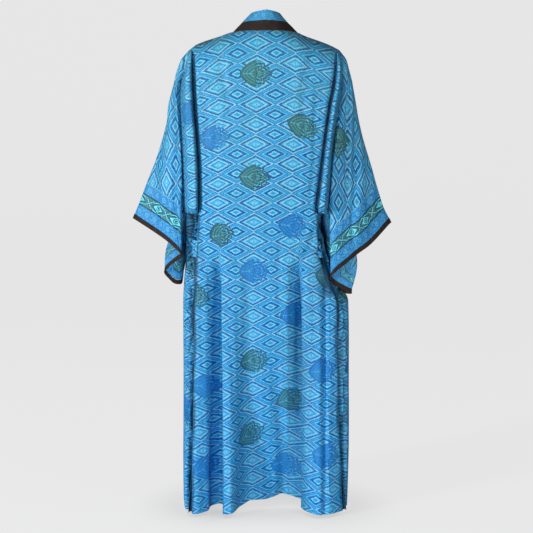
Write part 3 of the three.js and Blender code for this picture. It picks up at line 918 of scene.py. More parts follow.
def make_front(name, sign):
    down, armhole = row_depths()
    flat, at_armhole = front_form(sign, down, armhole)
    depth = np.tile(down[:, None], (1, flat.shape[1]))
    columns = np.arange(flat.shape[1])
    run = arc(flat, 1)
    from_seam = run[:, -1:] - run
    inside = smooth(run / 20) * smooth(depth / 40) * smooth((from_seam - 1.5) / 5)
    belted = 1 - bump((depth - WAIST) / (BELT_HEIGHT * 0.62))
    creases = LEFT_SIDE_CREASES if sign < 0 else RIGHT_SIDE_CREASES
    crumpled = smooth((from_seam - 16) / 12) * smooth((HEM_DOWN - 20 - depth) / 160)
    beside = crease(from_seam, depth, creases)
    beside = beside + crumple(from_seam, depth, 5 if sign < 0 else 4, 5) * crumpled
    beside = beside * smooth((66 - from_seam) / 18)
    before = crease(np.abs(flat[..., 0]), depth, FRONT_CREASES) * smooth((from_seam - 60) / 30)
    held = smooth((at_armhole - 1 - columns) / 5)[None] * (depth < UNDERARM) + (depth >= UNDERARM)
    moved = (np.where(depth > UNDERARM, beside, 0) + before * belted) * inside * held
    moved = moved + ripple(run, depth, 0.9, 23 + sign) * inside * held * belted
    grid = flat + facing_out(flat, -sign) * moved[..., None]

    u, v = -sign * from_seam + SIDE_PRINT, printed_row(depth)
    levels = (down[:-1] + down[1:]) / 2
    slot_rows = np.abs(levels - WAIST) < BELT_HEIGHT / 2 + 3
    slot_columns = columns[:-1] >= at_armhole + int(BELT_SLOT * FLANK_COLUMNS)
    keep = np.ones((len(down) - 1, flat.shape[1] - 1), bool)
    keep[:armhole, at_armhole:] = False
    keep[np.ix_(slot_rows, slot_columns)] = False
    medallions = nearest_place(from_seam, depth, u, v, SIDE_MEDALLIONS[name.split("_")[1]])
    medallions += nearest_place(flat[..., 0] * sign, depth, u, v, FRONT_MEDALLIONS)
    return cloth(
        name,
        grid,
        -sign,
        {"Cloth": stack(u, v)},
        (silk, wrong_side),
        keep=keep,
        medallions=medallions,
        shaded=side_shade(sign, from_seam, depth, creases, crumpled),
    )


def cuff_places(grid, edge):
    """Length along a cuff's edge and nearest distance from it, for a grid that ends there."""
    count = len(edge)
    run = np.concatenate([[0], np.cumsum(np.linalg.norm(np.roll(edge, -1, 0) - edge, axis=1))])
    along = np.zeros(grid.shape[:2])
    away = np.full(grid.shape[:2], NOWHERE)
    follow = np.roll(edge, -1, 0)
    reach = count // 10  # how many points along the edge the nearest one can be
    for shift in range(-reach, reach + 1):
        start, end = np.roll(edge, -shift, 0), np.roll(follow, -shift, 0)
        line = end - start
        t = np.clip(np.sum((grid - start) * line, -1) / np.sum(line**2, -1), 0, 1)
        gap = np.linalg.norm(grid - start - line * t[..., None], axis=-1)
        nearer = gap < away
        k = (np.arange(count) + shift) % count
        along = np.where(nearer, run[k] + t * (run[k + 1] - run[k]), along)
        away = np.where(nearer, gap, away)
    return along, away


def sleeve_print(wrapped, station):
    """The lattice on a sleeve: the level, and the way round, carried on over the top and lower folds."""
    around = arc(wrapped * (1, 1, 0), 1)
    out = np.abs(wrapped[..., 0])
    turned_over = np.argmax(station > NEAR_TURN)
    folded = np.argmax(station > FIRST_FOLD)
    over = around[:, turned_over, None] + out[:, turned_over, None]
    under = around - around[:, folded, None] - out[:, folded, None]
    v = np.where(station <= station[folded], -out, under)
    v = np.where(station <= station[turned_over], around - over, v)
    v = np.where(station >= FAR_TURN, around - around[:, -1:] - over, v)
    return -wrapped[..., 2], v + SLEEVE_PRINT


def sleeve_border(flat, edge, station):
    """The printed bands' place along and from the cuff's edge, drawn together on the folded end."""
    along, away = cuff_places(flat, edge)
    whole = np.sum(np.linalg.norm(np.roll(edge, -1, 0) - edge, axis=1))
    along = np.concatenate([along, along[:, :1] + whole], 1)
    away = closed_up(away)
    half = flat.shape[1] // 2
    first, second = along[:, :half], along[:, half:]
    first[first > whole * 0.7] -= whole
    second[second < whole * 0.3] += whole
    return stack(along, away * (1 + 0.7 * bump((station - FOLDED_END) / 3)))


def make_sleeve(sign):
    name = "left" if sign < 0 else "right"
    stations = sleeve_stations(count_near=66, count_between=78, count_far=40)
    station = stations[0]
    rows = len(CUFF[name])
    shares = np.linspace(0, 1, 121)
    flat = sleeve_grid(sign, shares, CUFF_BINDING + 0.6, stations)
    edge = sleeve_grid(sign, [1.0], 0.0, stations)[0]
    near = smooth((FIRST_FOLD - station) / 0.8)[None]
    far = smooth((station - FAR_LAYER) / 0.8)[None]
    from_body = np.abs(flat[..., 0]) - ARMHOLE_OUT
    depth = -flat[..., 2]
    fade = smooth(shares / 0.12)[:, None] * smooth((1.02 - shares) / 0.1)[:, None]
    top = smooth(np.minimum(station, rows - station) / 0.7)[None]
    moved = crease(from_body, depth, SLEEVE_CREASES[name]) * (near + 0.8 * far)
    moved = moved * top + ripple(from_body + 40 * station[None] * (near < 0.5), depth, 1.1, 31 + sign) * top
    grid = flat + facing_out(flat, -sign, closed=True) * (moved * fade)[..., None]
    shoulder = TOP("z", flat[:1, :, 0])
    down = (depth[:1] + shoulder) / (1 + shoulder / UNDERARM)  # the reverse of height_of
    valley = valley_run(down) * near
    grid[..., 1] += VALLEY["seam"] * valley * (1 - smooth(shares / 0.07))[:, None]

    wrapped = closed_up(flat)
    stationed = np.append(station, rows)[None]
    u, v = sleeve_print(wrapped, stationed[0])
    on_near = np.where(stationed < FIRST_FOLD, wrapped[..., 0], NOWHERE)
    # Painted shade in the sleeve's creases and in the valley beside the armhole.
    shaded = 0.4 * np.clip(-moved / 20, 0, 1) + 0.8 * valley * (1 - smooth(shares / 0.05))[:, None]
    sleeve = cloth(
        "sleeve_" + name,
        grid,
        -sign,
        {"Cloth": stack(u, v), "Border": sleeve_border(flat, edge, stationed)},
        (silk, wrong_side),
        closed=True,
        medallions=nearest_place(on_near, u, u, v, SLEEVE_MEDALLIONS[name]),
        shaded=closed_up(shaded),
    )
    return sleeve, stations


def make_cuff_binding(sign, stations):
    widths = np.linspace(CUFF_BINDING, 0, 6)
    grid = np.concatenate([sleeve_grid(sign, [1.0], width, stations) for width in widths])
    along = arc(closed_up(grid), 1)
    away = np.tile(widths[:, None], (1, along.shape[1]))
    name = "cuff_binding_left" if sign < 0 else "cuff_binding_right"
    return cloth(name, grid, -sign, {"Cloth": stack(along, away)}, (binding,), BIND, closed=True)


def band_places():
    """The line that the neckband is sewn to, as layer, depth and x: up the left front and down the right."""
    rising = HEM_DOWN * np.linspace(1, 0.06, 120)
    last = HEM_DOWN * 0.06 * np.linspace(1, 0, 26)[1:-1]
    down = np.concatenate([rising, last, [2.0]])
    opening = OPENING("x", down)
    neck = np.linspace(NECK_LEFT, NECK_RIGHT, 56)
    layer = np.concatenate([np.ones_like(down), np.zeros_like(neck), -np.ones_like(down)])
    depth = np.concatenate([down, np.zeros_like(neck), down[::-1]])
    x = np.concatenate([opening, neck, -opening[::-1]])
    return layer, depth, x


def make_band(name, start, end, paint):
    """A strip of the neckband, between two distances from the line that it is sewn to."""
    layer, depth, x = band_places()
    widths = np.linspace(start, end, BAND_COLUMNS)
    grid = np.stack([band_point(layer, depth, x, np.full_like(depth, w)) for w in widths], 1)
    along = np.tile(arc(grid, 0)[:, :1], (1, BAND_COLUMNS))
    waist = 1 - bump((depth - WAIST) / 40)
    worn = 0.5 * np.sin(along[:, 0] / 31) + 0.35 * np.sin(along[:, 0] / 12.3 + 1)
    standing = np.where(layer == 0, 1, smooth((60 - depth) / 60))
    out = facing_out(grid, 1)
    grid = grid + out * (worn * waist * mix(0.7, 1.0, standing))[:, None, None]
    maps = {"Cloth": stack(along, widths[None])}
    if paint is silk:
        maps["Border"] = stack(along, widths[None] - start + EDGE_PRINT[0] + 1.5)
    return cloth(name, grid, 1, maps, (paint,), BAND)


def make_belt():
    steps = 360
    shares = np.linspace(0, 1, 17)
    low, high = WAIST - BELT_HEIGHT / 2, WAIST + BELT_HEIGHT / 2
    ends = np.stack([belt_ring(low, steps), belt_ring(high, steps)])
    grid = ends[0] + (ends[1] - ends[0]) * shares[:, None, None]
    out = facing_out(grid, -1, closed=True)
    around = arc(grid, 1)
    folds = 0.9 * np.sin(shares * 15 + 1.2)[:, None] + 0.6 * np.sin(shares[:, None] * 27 + around / 60)
    knotted = bump((grid[..., 0] - KNOT_X) / 46) * (grid[..., 1] > 0)
    grid = grid + out * (folds * (1 + 0.8 * knotted))[..., None]
    maps = {"Cloth": stack(arc(closed_up(grid), 1), (shares * BELT_HEIGHT)[:, None] + 8)}
    return cloth("belt", grid, -1, maps, (silk,), closed=True)


def knot_middle():
    front = front_point(np.array([float(KNOT_X)]), np.array([float(WAIST)]), 1)[0, 1]
    return np.array([KNOT_X, front + BELT_CLEAR + 1.6 + 0.3 + KNOT_HALF[1], -WAIST])


def make_knot():
    bpy.ops.mesh.primitive_uv_sphere_add(segments=96, ring_count=64, radius=1)
    knot = bpy.context.object
    knot.name = knot.data.name = "belt_knot_cloth"
    ball = np.empty(len(knot.data.vertices) * 3)
    knot.data.vertices.foreach_get("co", ball)
    ball = ball.reshape(-1, 3)
    turn = np.arctan2(ball[:, 2], ball[:, 0])
    across = ball[:, 0] * 0.86 + ball[:, 2] * 0.5
    wraps = 0.035 * np.sin(across * 21 + 3 * ball[:, 1]) + 0.02 * np.sin(turn * 3 + 1)
    crossing = 0.1 * bump((ball[:, 0] * 0.5 - ball[:, 2] * 0.86) / 0.13) * smooth(ball[:, 1])
    shaped = ball * (0.93 + wraps - crossing)[:, None] * KNOT_HALF + knot_middle()
    knot.data.vertices.foreach_set("co", (shaped * MILLIMETRE).ravel())
    for key in ("Cloth", "Border", "Motif", "Kind"):
        knot.data.uv_layers.new(name=key)
    corner = np.empty(len(knot.data.loops), int)
    knot.data.loops.foreach_get("vertex_index", corner)
    laid = shaped[corner][:, [0, 2]]
    away = np.full_like(laid, NOWHERE)
    # Kind stays a copy of the ball's own map, which darkens the knot more and more towards its top.
    for key, value in {"Cloth": laid, "Border": away, "Motif": away}.items():
        knot.data.uv_layers[key].data.foreach_set("uv", value.astype(np.float32).ravel())
    knot.data.shade_smooth()
    knot.data.materials.append(silk)
    return knot


def make_belt_end(name, lean, out, length, behind):
    shares = np.linspace(0, 1, 121)[:, None]
    sides = np.linspace(-1, 1, 25)[None]
    top = WAIST + KNOT_HALF[2] + 0.3
    depth = top + length * shares
    half = mix(6, BELT_HEIGHT / 2, smooth(shares * 3))
    knot_y = knot_middle()[1] + 2.1 * (-0.5 if behind else 0.5)
    x = KNOT_X + lean * shares + half * sides
    lying = front_point(x, depth + 0 * x, 1)
    y = mix(knot_y, lying[..., 1] + out, smooth(shares * 3))
    grid = points(x, y, -depth)
    gathered = smooth((0.42 - shares) / 0.42)
    pleats = 1.3 * np.sin(sides * 7.5 + 0.6) * gathered + 0.7 * np.sin(shares * 9 + sides * 2)
    grid[..., 1] += pleats * smooth(shares / 0.06)
    return cloth(name, grid, -1, {"Cloth": stack(depth, x + 8)}, (silk,))


# ---------------------------------------------------------------- patterns, written as arithmetic


class Signal:
    """A number in a node tree. Ordinary arithmetic on it adds maths nodes."""

    def __init__(self, tree, socket):
        self.tree, self.socket = tree, socket

    def made(self, operation, *others, clamp=False):
        node = self.tree.nodes.new("ShaderNodeMath")
        node.operation, node.use_clamp = operation, clamp
        for slot, value in zip(node.inputs, (self, *others)):
            feed(self.tree, slot, value)
        return Signal(self.tree, node.outputs[0])

    def __add__(self, other):
        return self.made("ADD", other)

    def __sub__(self, other):
        return self.made("SUBTRACT", other)

    def __mul__(self, other):
        return self.made("MULTIPLY", other)

    def __truediv__(self, other):
        return self.made("DIVIDE", other)

    def __neg__(self):
        return self.made("MULTIPLY", -1.0)

    __radd__, __rmul__ = __add__, __mul__

    def __rsub__(self, other):
        return (-self).made("ADD", other)

    def absolute(self):
        return self.made("ABSOLUTE")

    def sine(self):
        return self.made("SINE")

    def cosine(self):
        return self.made("COSINE")

    def power(self, other):
        return self.made("POWER", other)

    def ping(self, half):
        """Distance from the nearest whole repeat, where a repeat is twice half long."""
        return self.made("PINGPONG", half)

    def least(self, other):
        return self.made("MINIMUM", other)

    def most(self, other):
        return self.made("MAXIMUM", other)

    def limited(self, factor):
        """This times a factor, kept from 0 to 1."""
        return self.made("MULTIPLY", factor, clamp=True)

    def above(self, edge, soft):
        """0 below an edge and 1 above it, changing over a soft width."""
        return ((self - edge) / soft).made("ADD", 0.5, clamp=True)

    def below(self, edge, soft):
        return (1 - self.above(edge, soft)).made("ADD", 0.0, clamp=True)

    def between(self, low, high, soft):
        return self.above(low, soft) * self.below(high, soft)


def feed(tree, slot, value):
    """Sets a socket to a number or colour, or links what makes it."""
    if isinstance(value, Signal):
        value = value.socket
    if isinstance(value, bpy.types.NodeSocket):
        tree.links.new(value, slot)
    else:
        slot.default_value = value


def colour(red, green, blue):
    """A linear colour from the 0-255 values that a screen shows."""
    values = [c / 255 for c in (red, green, blue)]
    return tuple(c / 12.92 if c < 0.04045 else ((c + 0.055) / 1.055) ** 2.4 for c in values) + (1.0,)


def blended(tree, amount, first, second):
    """Two colours mixed by an amount."""
    node = tree.nodes.new("ShaderNodeMix")
    node.data_type, node.clamp_factor = "RGBA", True
    colours = [slot for slot in node.inputs if slot.type == "RGBA"]
    for slot, value in zip((node.inputs["Factor"], *colours), (amount, first, second)):
        feed(tree, slot, value)
    return next(slot for slot in node.outputs if slot.type == "RGBA")


def layered(tree, tint, layers):
    """A colour with others laid over it in turn, each by its own mask."""
    for mask, paint in layers:
        tint = blended(tree, mask, tint, paint)
    return tint


def split(tree, vector, count=2):
    """The first parts of a vector."""
    node = tree.nodes.new("ShaderNodeSeparateXYZ")
    tree.links.new(vector, node.inputs[0])
    return [Signal(tree, socket) for socket in node.outputs[:count]]


def joined(tree, x, y):
    node = tree.nodes.new("ShaderNodeCombineXYZ")
    for slot, value in zip(node.inputs, (x, y)):
        feed(tree, slot, value)
    return node.outputs[0]


def set_inputs(node, values):
    for slot, value in values.items():
        node.inputs[slot].default_value = value


def noise(tree, vector, size, detail=2.0, rough=0.55):
    """Smooth noise from 0 to 1 with grains of a given size in the vector's own units."""
    node = tree.nodes.new("ShaderNodeTexNoise")
    node.noise_dimensions = "2D"
    tree.links.new(vector, node.inputs["Vector"])
    set_inputs(node, {"Scale": 1 / size, "Detail": detail, "Roughness": rough})
    return Signal(tree, node.outputs[0])


def group(name, inputs, outputs):
    """An empty node group with these sockets, and its tree's own ends."""
    tree = bpy.data.node_groups.new(name, "ShaderNodeTree")
    kinds = {"vector": "NodeSocketVector", "value": "NodeSocketFloat", "colour": "NodeSocketColor"}
    for way, sockets in (("INPUT", inputs), ("OUTPUT", outputs)):
        for label, kind in sockets.items():
            tree.interface.new_socket(label, in_out=way, socket_type=kinds[kind])
    start = tree.nodes.new("NodeGroupInput")
    end = tree.nodes.new("NodeGroupOutput")
    return tree, start.outputs, end.inputs


SKY = colour(54, 166, 214)
LIGHT_BLUE = colour(20, 136, 200)
MIDDLE_BLUE = colour(4, 108, 178)
DEEP_BLUE = colour(0, 58, 134)
PALE = colour(112, 196, 214)
ICE = colour(80, 192, 220)
SHADE = colour(0, 50, 80)
SHADE_SHARE = 0.85  # how much of it the silk's colour takes where shaded is 1, and more above that
LATTICE_BANDS = [  # where each band of a diamond starts and ends, as a share of its way in, and its colour
    (0.00, 0.05, MIDDLE_BLUE),
    (0.07, 0.17, PALE),
    (0.19, 0.33, SKY),
    (0.36, 0.43, MIDDLE_BLUE),
    (0.47, 0.60, PALE),
    (0.63, 0.70, LIGHT_BLUE),
    (0.73, 0.84, DEEP_BLUE),
    (0.88, 0.97, PALE),
    (1.00, 1.11, MIDDLE_BLUE),
    (1.13, 1.19, SKY),
    (1.21, 1.30, MIDDLE_BLUE),
    (1.33, 1.41, ICE),
    (1.43, 1.50, MIDDLE_BLUE),
    (1.53, 1.65, DEEP_BLUE),
    (1.69, 1.79, PALE),
    (1.82, 2.00, LIGHT_BLUE),
]


def make_lattice():
    """Stretched diamonds in rings. Every ring depends only on how far in it lies."""
    tree, start, end = group("Diamond lattice", {"Cloth": "vector"}, {"Colour": "colour"})
    u, v = split(tree, start["Cloth"])
    wobble = noise(tree, start["Cloth"], 7, 4, 0.75) - 0.5
    across = (u / REPEAT[0]).ping(0.5)
    down = (v / REPEAT[1]).ping(0.5)
    ring = (across + down) * 2 + wobble * 0.26
    warm = ring.between(0.52, 0.64, 0.02) + ring.between(0.89, 1.01, 0.02) + ring.between(1.33, 1.4, 0.02)
    warm = warm * noise(tree, start["Cloth"], 5, 2).above(0.56, 0.06)
    ramp = tree.nodes.new("ShaderNodeValToRGB")
    tree.links.new((ring / 2).socket, ramp.inputs[0])
    stops = ramp.color_ramp.elements
    while len(stops) < 2 * len(LATTICE_BANDS):
        stops.new(0.5)
    places = [(edge / 2, tint) for low, high, tint in LATTICE_BANDS for edge in (low, high - 0.001)]
    for stop, (place, _) in zip(stops, places):
        stop.position = place
    for stop, (_, tint) in zip(stops, places):
        stop.color = tint
    spot = (across * REPEAT[0]).below(1.5, 0.8) * (down * REPEAT[1]).below(5.5, 1.5)
    spotted = blended(tree, spot * 0.7, ramp.outputs[0], colour(120, 120, 160))
    tree.links.new(blended(tree, warm * 0.6, spotted, colour(160, 150, 158)), end["Colour"])
    return tree


def make_medallion():
    """A pointed bud on its side: a half of fine arcs with a pale stalk, and a half of lace with scallops."""
    tree, start, end = group(
        "Bud medallion",
        {"Motif": "vector", "Cloth": "vector", "Kind": "value"},
        {"Colour": "colour", "Mask": "value"},
    )
    kind = Signal(tree, start["Kind"])
    wobble = noise(tree, start["Cloth"], 5, 2) - 0.5
    a, b = split(tree, start["Motif"])
    a, b = a + wobble * 1.8, (b + wobble * 1.4).absolute()
    turn = b.made("ARCTAN2", a)
    lacy = a.above(1, 2)
    scallop = (turn * 15).cosine() * 0.09 * a.above(-2, 6)
    reach = (a.absolute() / 42).power(1.6) + (b / 33).power(1.35) - scallop
    mask = reach.below(1, 0.06)
    outline = reach.between(0.86, 1.02, 0.06)
    arcs = (reach * 26).sine().above(0.0, 0.6) * 0.85
    spokes = (turn * 26).sine().above(0.3, 0.8) * 0.5
    leaf = arcs.most(spokes * reach.between(0.3, 0.86, 0.05)) * (1 - lacy)
    swirl = (reach * 17 - (turn * 7).cosine() * 2.4 + a * 0.05).sine()
    lace = swirl.above(0.0, 0.4) * lacy
    holes = swirl.below(-0.72, 0.2) * lacy * reach.between(0.34, 0.93, 0.05)
    divide = (a - 1 - (b * 0.5).sine() * 1.4).absolute().below(1.3, 0.6) * reach.below(0.9, 0.1)
    ink = outline.most(leaf).most(lace).most(divide)
    stalk = b.below(1.2, 0.7) * a.between(-33, -6, 2)
    speckle = noise(tree, start["Cloth"], 1.6, 1)
    green = blended(tree, ink, colour(62, 132, 130), colour(2, 40, 48))
    blue = blended(tree, ink * 0.8, colour(12, 126, 196), colour(0, 62, 146))
    layers = (
        (kind.above((GREEN + BLUE) / 2, 0.1), blue),
        (stalk * 0.55, colour(96, 176, 196)),
        ((speckle - 0.5).limited(1.6), colour(80, 160, 176)),
    )
    tree.links.new(layered(tree, green, layers), end["Colour"])
    shown = mask * (1 - holes) * kind.above(GREEN / 2, 0.1)
    tree.links.new(shown.socket, end["Mask"])
    return tree


def make_border():
    """The cuffs' print: a green band of eyes and crossed leaves between two blue bands of small rings."""
    tree, start, end = group(
        "Cuff bands", {"Border": "vector", "Cloth": "vector"}, {"Colour": "colour", "Mask": "value"}
    )
    wobble = noise(tree, start["Cloth"], 5, 2) - 0.5
    along, away = split(tree, start["Border"])
    away = away + wobble * 1.5
    bound, green_low, green_high, last = EDGE_PRINT
    middle = (green_low + green_high) / 2
    half = (green_high - green_low) / 2
    off = (away - middle).absolute()
    s = (along + wobble * 1.5) / EYE_EVERY
    to_eye = s.ping(0.5) * EYE_EVERY
    to_cross = EYE_EVERY / 2 - to_eye
    ground = colour(44, 100, 104)
    dark = colour(2, 34, 48)
    leaf_tint = colour(104, 214, 230)
    speckle = noise(tree, start["Cloth"], 1.6, 1).above(0.56, 0.2) * 0.5
    rope = (off - (s * math.pi).cosine().absolute() * (half - 3)).absolute()
    diamond = to_eye * 0.66 + off
    ball = (to_eye * to_eye + off * off).power(0.5)
    crossed = (to_cross - off * 1.1).absolute()
    petal = crossed.below(2.6, 0.9) * (to_cross + off).between(5.5, 23, 1.5)
    rib = crossed.below(0.8, 0.5) * (to_cross + off).between(9, 22, 1.5)
    hub = (to_cross * to_cross + off * off).power(0.5)
    layers = (
        (speckle, colour(96, 160, 160)),
        (rope.below(3.2, 0.8), dark),
        (rope.below(1.5, 0.6), leaf_tint),
        (diamond.below(13.8, 0.8), dark),
        (diamond.below(11.2, 0.8), leaf_tint),
        (ball.below(6.6, 0.7), dark),
        (ball.below(4.6, 0.6), leaf_tint),
        (ball.below(2.4, 0.7), dark),
        (crossed.below(4.6, 0.9) * (to_cross + off).between(3.5, 25, 1.5), dark),
        (petal, leaf_tint),
        (rib, dark),
        (hub.below(1.8, 0.7), leaf_tint),
        (off.between(half - 2.2, half + 1.2, 0.8), dark),
    )
    green = layered(tree, ground, layers)

    row = (away - (bound + green_low) / 2).absolute().least((away - (green_high + last) / 2).absolute())
    bead = ((along + away * 0.35) / 25).ping(0.5) * 25
    ring = (bead * bead + row * row).power(0.5)
    scroll = ((along * 0.42).sine() * 4.2 + (along * 0.9).cosine() * 1.8 - (row - 8.5)).absolute()
    ring_tint = colour(104, 186, 212)
    layers = (
        (noise(tree, start["Cloth"], 3.4, 2).above(0.52, 0.12) * 0.7, colour(66, 164, 208)),
        (scroll.below(1.1, 0.8) * 0.5, ring_tint),
        (ring.between(3.8, 6, 0.9) * 0.7, ring_tint),
        (ring.below(1.8, 0.8) * 0.6, ring_tint),
        (ring.between(6.2, 7.8, 0.8) * 0.6, colour(6, 84, 166)),
    )
    blue = layered(tree, colour(10, 108, 184), layers)
    edge = (away - last).absolute().below(1.3, 0.8) * 0.6
    tint = layered(tree, green, ((off.above(half + 1.2, 0.6), blue), (edge, colour(120, 190, 208))))
    tree.links.new(tint, end["Colour"])
    tree.links.new(away.below(last + 0.6, 0.6).socket, end["Mask"])
    return tree


def make_weave():
    """Fine threads, slubs and the soft unevenness of printed silk."""
    outputs = {"Height": "value", "Fleck": "value", "Cast": "value"}
    tree, start, end = group("Silk threads", {"Cloth": "vector"}, outputs)
    u, v = split(tree, start["Cloth"])
    threads = (u * 5.2).sine() * (v * 5.2).sine()
    slub = noise(tree, joined(tree, u * 0.08, v * 1.1), 1, 2) - 0.5
    fleck = noise(tree, start["Cloth"], 3.2, 3, 0.75)
    cast = noise(tree, start["Cloth"], 70, 3)
    tree.links.new((threads * 0.35 + slub).socket, end["Height"])
    tree.links.new(fleck.socket, end["Fleck"])
    tree.links.new(cast.socket, end["Cast"])
    return tree


def used(tree, inner, **inputs):
    """A node group placed in a tree and fed by name, as its outputs."""
    node = tree.nodes.new("ShaderNodeGroup")
    node.node_tree = inner
    for slot, value in inputs.items():
        feed(tree, node.inputs[slot], value)
    return node.outputs


def mapped(tree, name):
    node = tree.nodes.new("ShaderNodeUVMap")
    node.uv_map = name
    return node.outputs[0]


def new_material(name, rough, sheen=0.0, gloss=0.18):
    material = bpy.data.materials.new(name)
    material.use_nodes = True
    tree = material.node_tree
    shader = tree.nodes["Principled BSDF"]
    finish = {"Roughness": rough, "Sheen Weight": sheen, "Sheen Roughness": 0.35, "Specular IOR Level": gloss}
    set_inputs(shader, finish)
    return material, tree, shader


def relief(tree, shader, height, strength, distance):
    """Fine relief in a surface, from a height and its size in metres."""
    node = tree.nodes.new("ShaderNodeBump")
    set_inputs(node, {"Strength": strength, "Distance": distance})
    feed(tree, node.inputs["Height"], height)
    tree.links.new(node.outputs[0], shader.inputs["Normal"])


def make_silk(name, groups, faded=0.0):
    """Printed silk. Faded is how much duller the wrong side of the cloth is."""
    material, tree, shader = new_material(name, 0.5, 0.06)
    cloth_map = mapped(tree, "Cloth")
    kind, shaded = split(tree, mapped(tree, "Kind"))
    height = split(tree, tree.nodes.new("ShaderNodeTexCoord").outputs["Object"], 3)[2]
    lattice = used(tree, groups["lattice"], Cloth=cloth_map)
    medallion = used(tree, groups["medallion"], Motif=mapped(tree, "Motif"), Cloth=cloth_map, Kind=kind)
    border = used(tree, groups["border"], Border=mapped(tree, "Border"), Cloth=cloth_map)
    weave = used(tree, groups["weave"], Cloth=cloth_map)
    fleck, cast = Signal(tree, weave["Fleck"]), Signal(tree, weave["Cast"])
    layers = (
        (medallion["Mask"], medallion["Colour"]),
        (border["Mask"], border["Colour"]),
        ((fleck - 0.52).limited(1.3), colour(110, 196, 214)),
        ((0.48 - fleck).limited(2.6), colour(0, 84, 166)),
        ((cast - 0.5).limited(0.8), colour(56, 140, 160)),
        ((height * 2.2 + 1).limited(0.1), colour(120, 190, 170)),  # a little greener towards the shoulders
        ((-0.45 - height).limited(0.22), colour(14, 138, 236)),  # and bluer towards the hem, and lighter there as painted light that makes up for the lamps lighting the hem less
        (faded, colour(58, 118, 160)),
        # painted shade, from the Kind map's second value
        (shaded.limited(SHADE_SHARE), SHADE),
    )
    feed(tree, shader.inputs["Base Color"], layered(tree, lattice["Colour"], layers))
    relief(tree, shader, weave["Height"], 0.35, 0.0004)
    return material


def make_binding():
    """Plain dark cloth with fine ribs along the binding."""
    material, tree, shader = new_material("dark ribbed binding", 0.75, 0.05)
    cloth_map = mapped(tree, "Cloth")
    across = split(tree, cloth_map)[1]
    ribs = (across * 2.6).sine()
    grain = noise(tree, cloth_map, 1.3, 2)
    worn = noise(tree, cloth_map, 16, 3)
    layers = (
        (grain, colour(44, 33, 29)),
        ((worn - 0.5).limited(1.0), colour(66, 54, 48)),
        (ribs.above(0.2, 1.0) * 0.22, colour(84, 68, 60)),
    )
    feed(tree, shader.inputs["Base Color"], layered(tree, colour(20, 14, 12), layers))
    relief(tree, shader, ribs * 0.5 + grain, 0.5, 0.0005)
    return material


patterns = {
    "lattice": make_lattice(),
    "medallion": make_medallion(),
    "border": make_border(),
    "weave": make_weave(),
}
silk = make_silk("printed silk", patterns)
wrong_side = make_silk("printed silk, wrong side", patterns, faded=0.25)
binding = make_binding()

bpy.ops.object.select_all(action="DESELECT")
back = make_back()
front_left = make_front("front_left", -1)
front_right = make_front("front_right", 1)
sleeve_left, left_stations = make_sleeve(-1)
sleeve_right, right_stations = make_sleeve(1)
cuff_left = make_cuff_binding(-1, left_stations)
cuff_right = make_cuff_binding(1, right_stations)
trim = make_band("neckband_trim", -TRIM_LAP, TRIM_WIDTH, binding)
band = make_band("neckband", TRIM_WIDTH + 0.8, BAND_WIDTH, silk)
belt = make_belt()
knot = make_knot()
end_left = make_belt_end("belt_end_left", lean=-46, out=6, length=360, behind=True)
end_right = make_belt_end("belt_end_right", lean=18, out=10, length=330, behind=False)

slots = {
    "print": (back, front_left, front_right, sleeve_left, sleeve_right, belt, knot, end_left, end_right),
    "border": (band,),
    "binding": (cuff_left, cuff_right, trim),
}
for name, pieces in slots.items():
    for piece in pieces:
        node = piece.name.removesuffix("_cloth")
        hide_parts(node)
        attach(piece, "root")


# ---------------------------------------------------------------- floor, light and camera


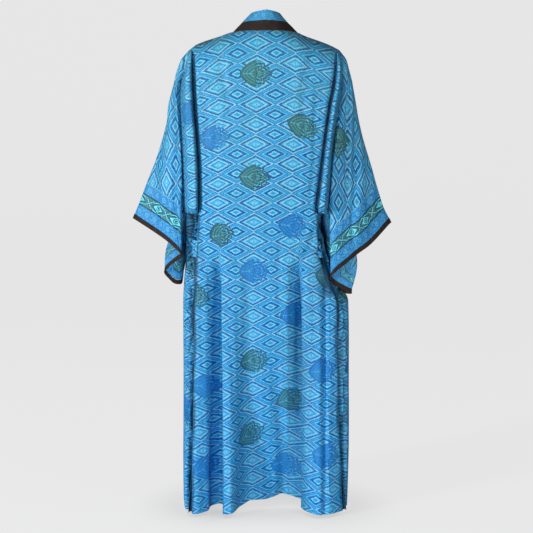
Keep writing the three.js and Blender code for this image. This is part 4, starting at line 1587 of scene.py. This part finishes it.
def make_backdrop():
    """A floor that curves up into a wall, pale and even, so that only the soft shadow shows: mostly painted
    into its glow near the cloth, and faintly real from the lamps.
    """
    floor, front, wall, top = -1.292, -7.0, 9.0, 9.0
    turn, half_width, steps = 2.0, 14, 24
    profile = [(front, floor)]
    for k in range(steps + 1):
        angle = math.pi / 2 * k / steps
        profile.append((wall - turn + turn * math.sin(angle), floor + turn - turn * math.cos(angle)))
    profile.append((wall, top))
    vertices = [(x, y, z) for y, z in profile for x in (-half_width, half_width)]
    faces = [(2 * k, 2 * k + 1, 2 * k + 3, 2 * k + 2) for k in range(len(profile) - 1)]
    mesh = bpy.data.meshes.new("backdrop")
    mesh.from_pydata(vertices, [], faces)
    mesh.shade_smooth()
    backdrop = bpy.data.objects.new("backdrop", mesh)
    bpy.context.collection.objects.link(backdrop)
    material, tree, shader = new_material("studio paper", 1, gloss=0)
    set_inputs(shader, {"Base Color": (0.1, 0.1, 0.1, 1), "Emission Color": (1, 1, 1, 1)})
    # Dims the glow where the cloth is near: a painted shadow.
    painted_contact_shadow = tree.nodes.new("ShaderNodeAmbientOcclusion")
    set_inputs(painted_contact_shadow, {"Distance": 0.16})
    painted_contact_shadow.samples = 16
    feed(tree, shader.inputs["Emission Strength"], Signal(tree, painted_contact_shadow.outputs["AO"]) * 0.3 + 0.465)
    mesh.materials.append(material)
    backdrop.visible_diffuse = backdrop.visible_glossy = False
    return backdrop


def add_light(name, place, target, size, watts):
    data = bpy.data.lights.new(name, "AREA")
    data.shape, data.size, data.energy = "DISK", size, watts
    light = bpy.data.objects.new(name, data)
    light.location = place
    light.rotation_euler = (Vector(target) - Vector(place)).to_track_quat("-Z", "Y").to_euler()
    bpy.context.collection.objects.link(light)
    return light


backdrop = make_backdrop()
lights = (
    add_light("key", (-3.9, -2.9, 0.2), (0, 0, -0.6), 0.7, 210),
    add_light("fill", (-0.9, -4.2, -1.2), (0, 0, -1.0), 1.2, 150),
    add_light("right", (2.9, -3.2, -0.3), (0, 0, -0.7), 1.2, 60),
)
world = bpy.data.worlds.new("studio")
world.use_nodes = True
set_inputs(world.node_tree.nodes["Background"], {"Color": (0.95, 0.98, 1, 1), "Strength": 0.11})
bpy.context.scene.world = world

CAMERA_DIP = 6.3834  # degrees that the camera looks down
camera_data = bpy.data.cameras.new("camera")
camera_data.lens, camera_data.sensor_width = 82.5, 36
camera = bpy.data.objects.new("camera", camera_data)
camera.location = (0, -3.310, -0.259)
camera.rotation_euler = (math.radians(90 - CAMERA_DIP), 0, 0)
bpy.context.collection.objects.link(camera)
bpy.context.scene.camera = camera
bpy.context.scene.view_settings.view_transform = "Standard"
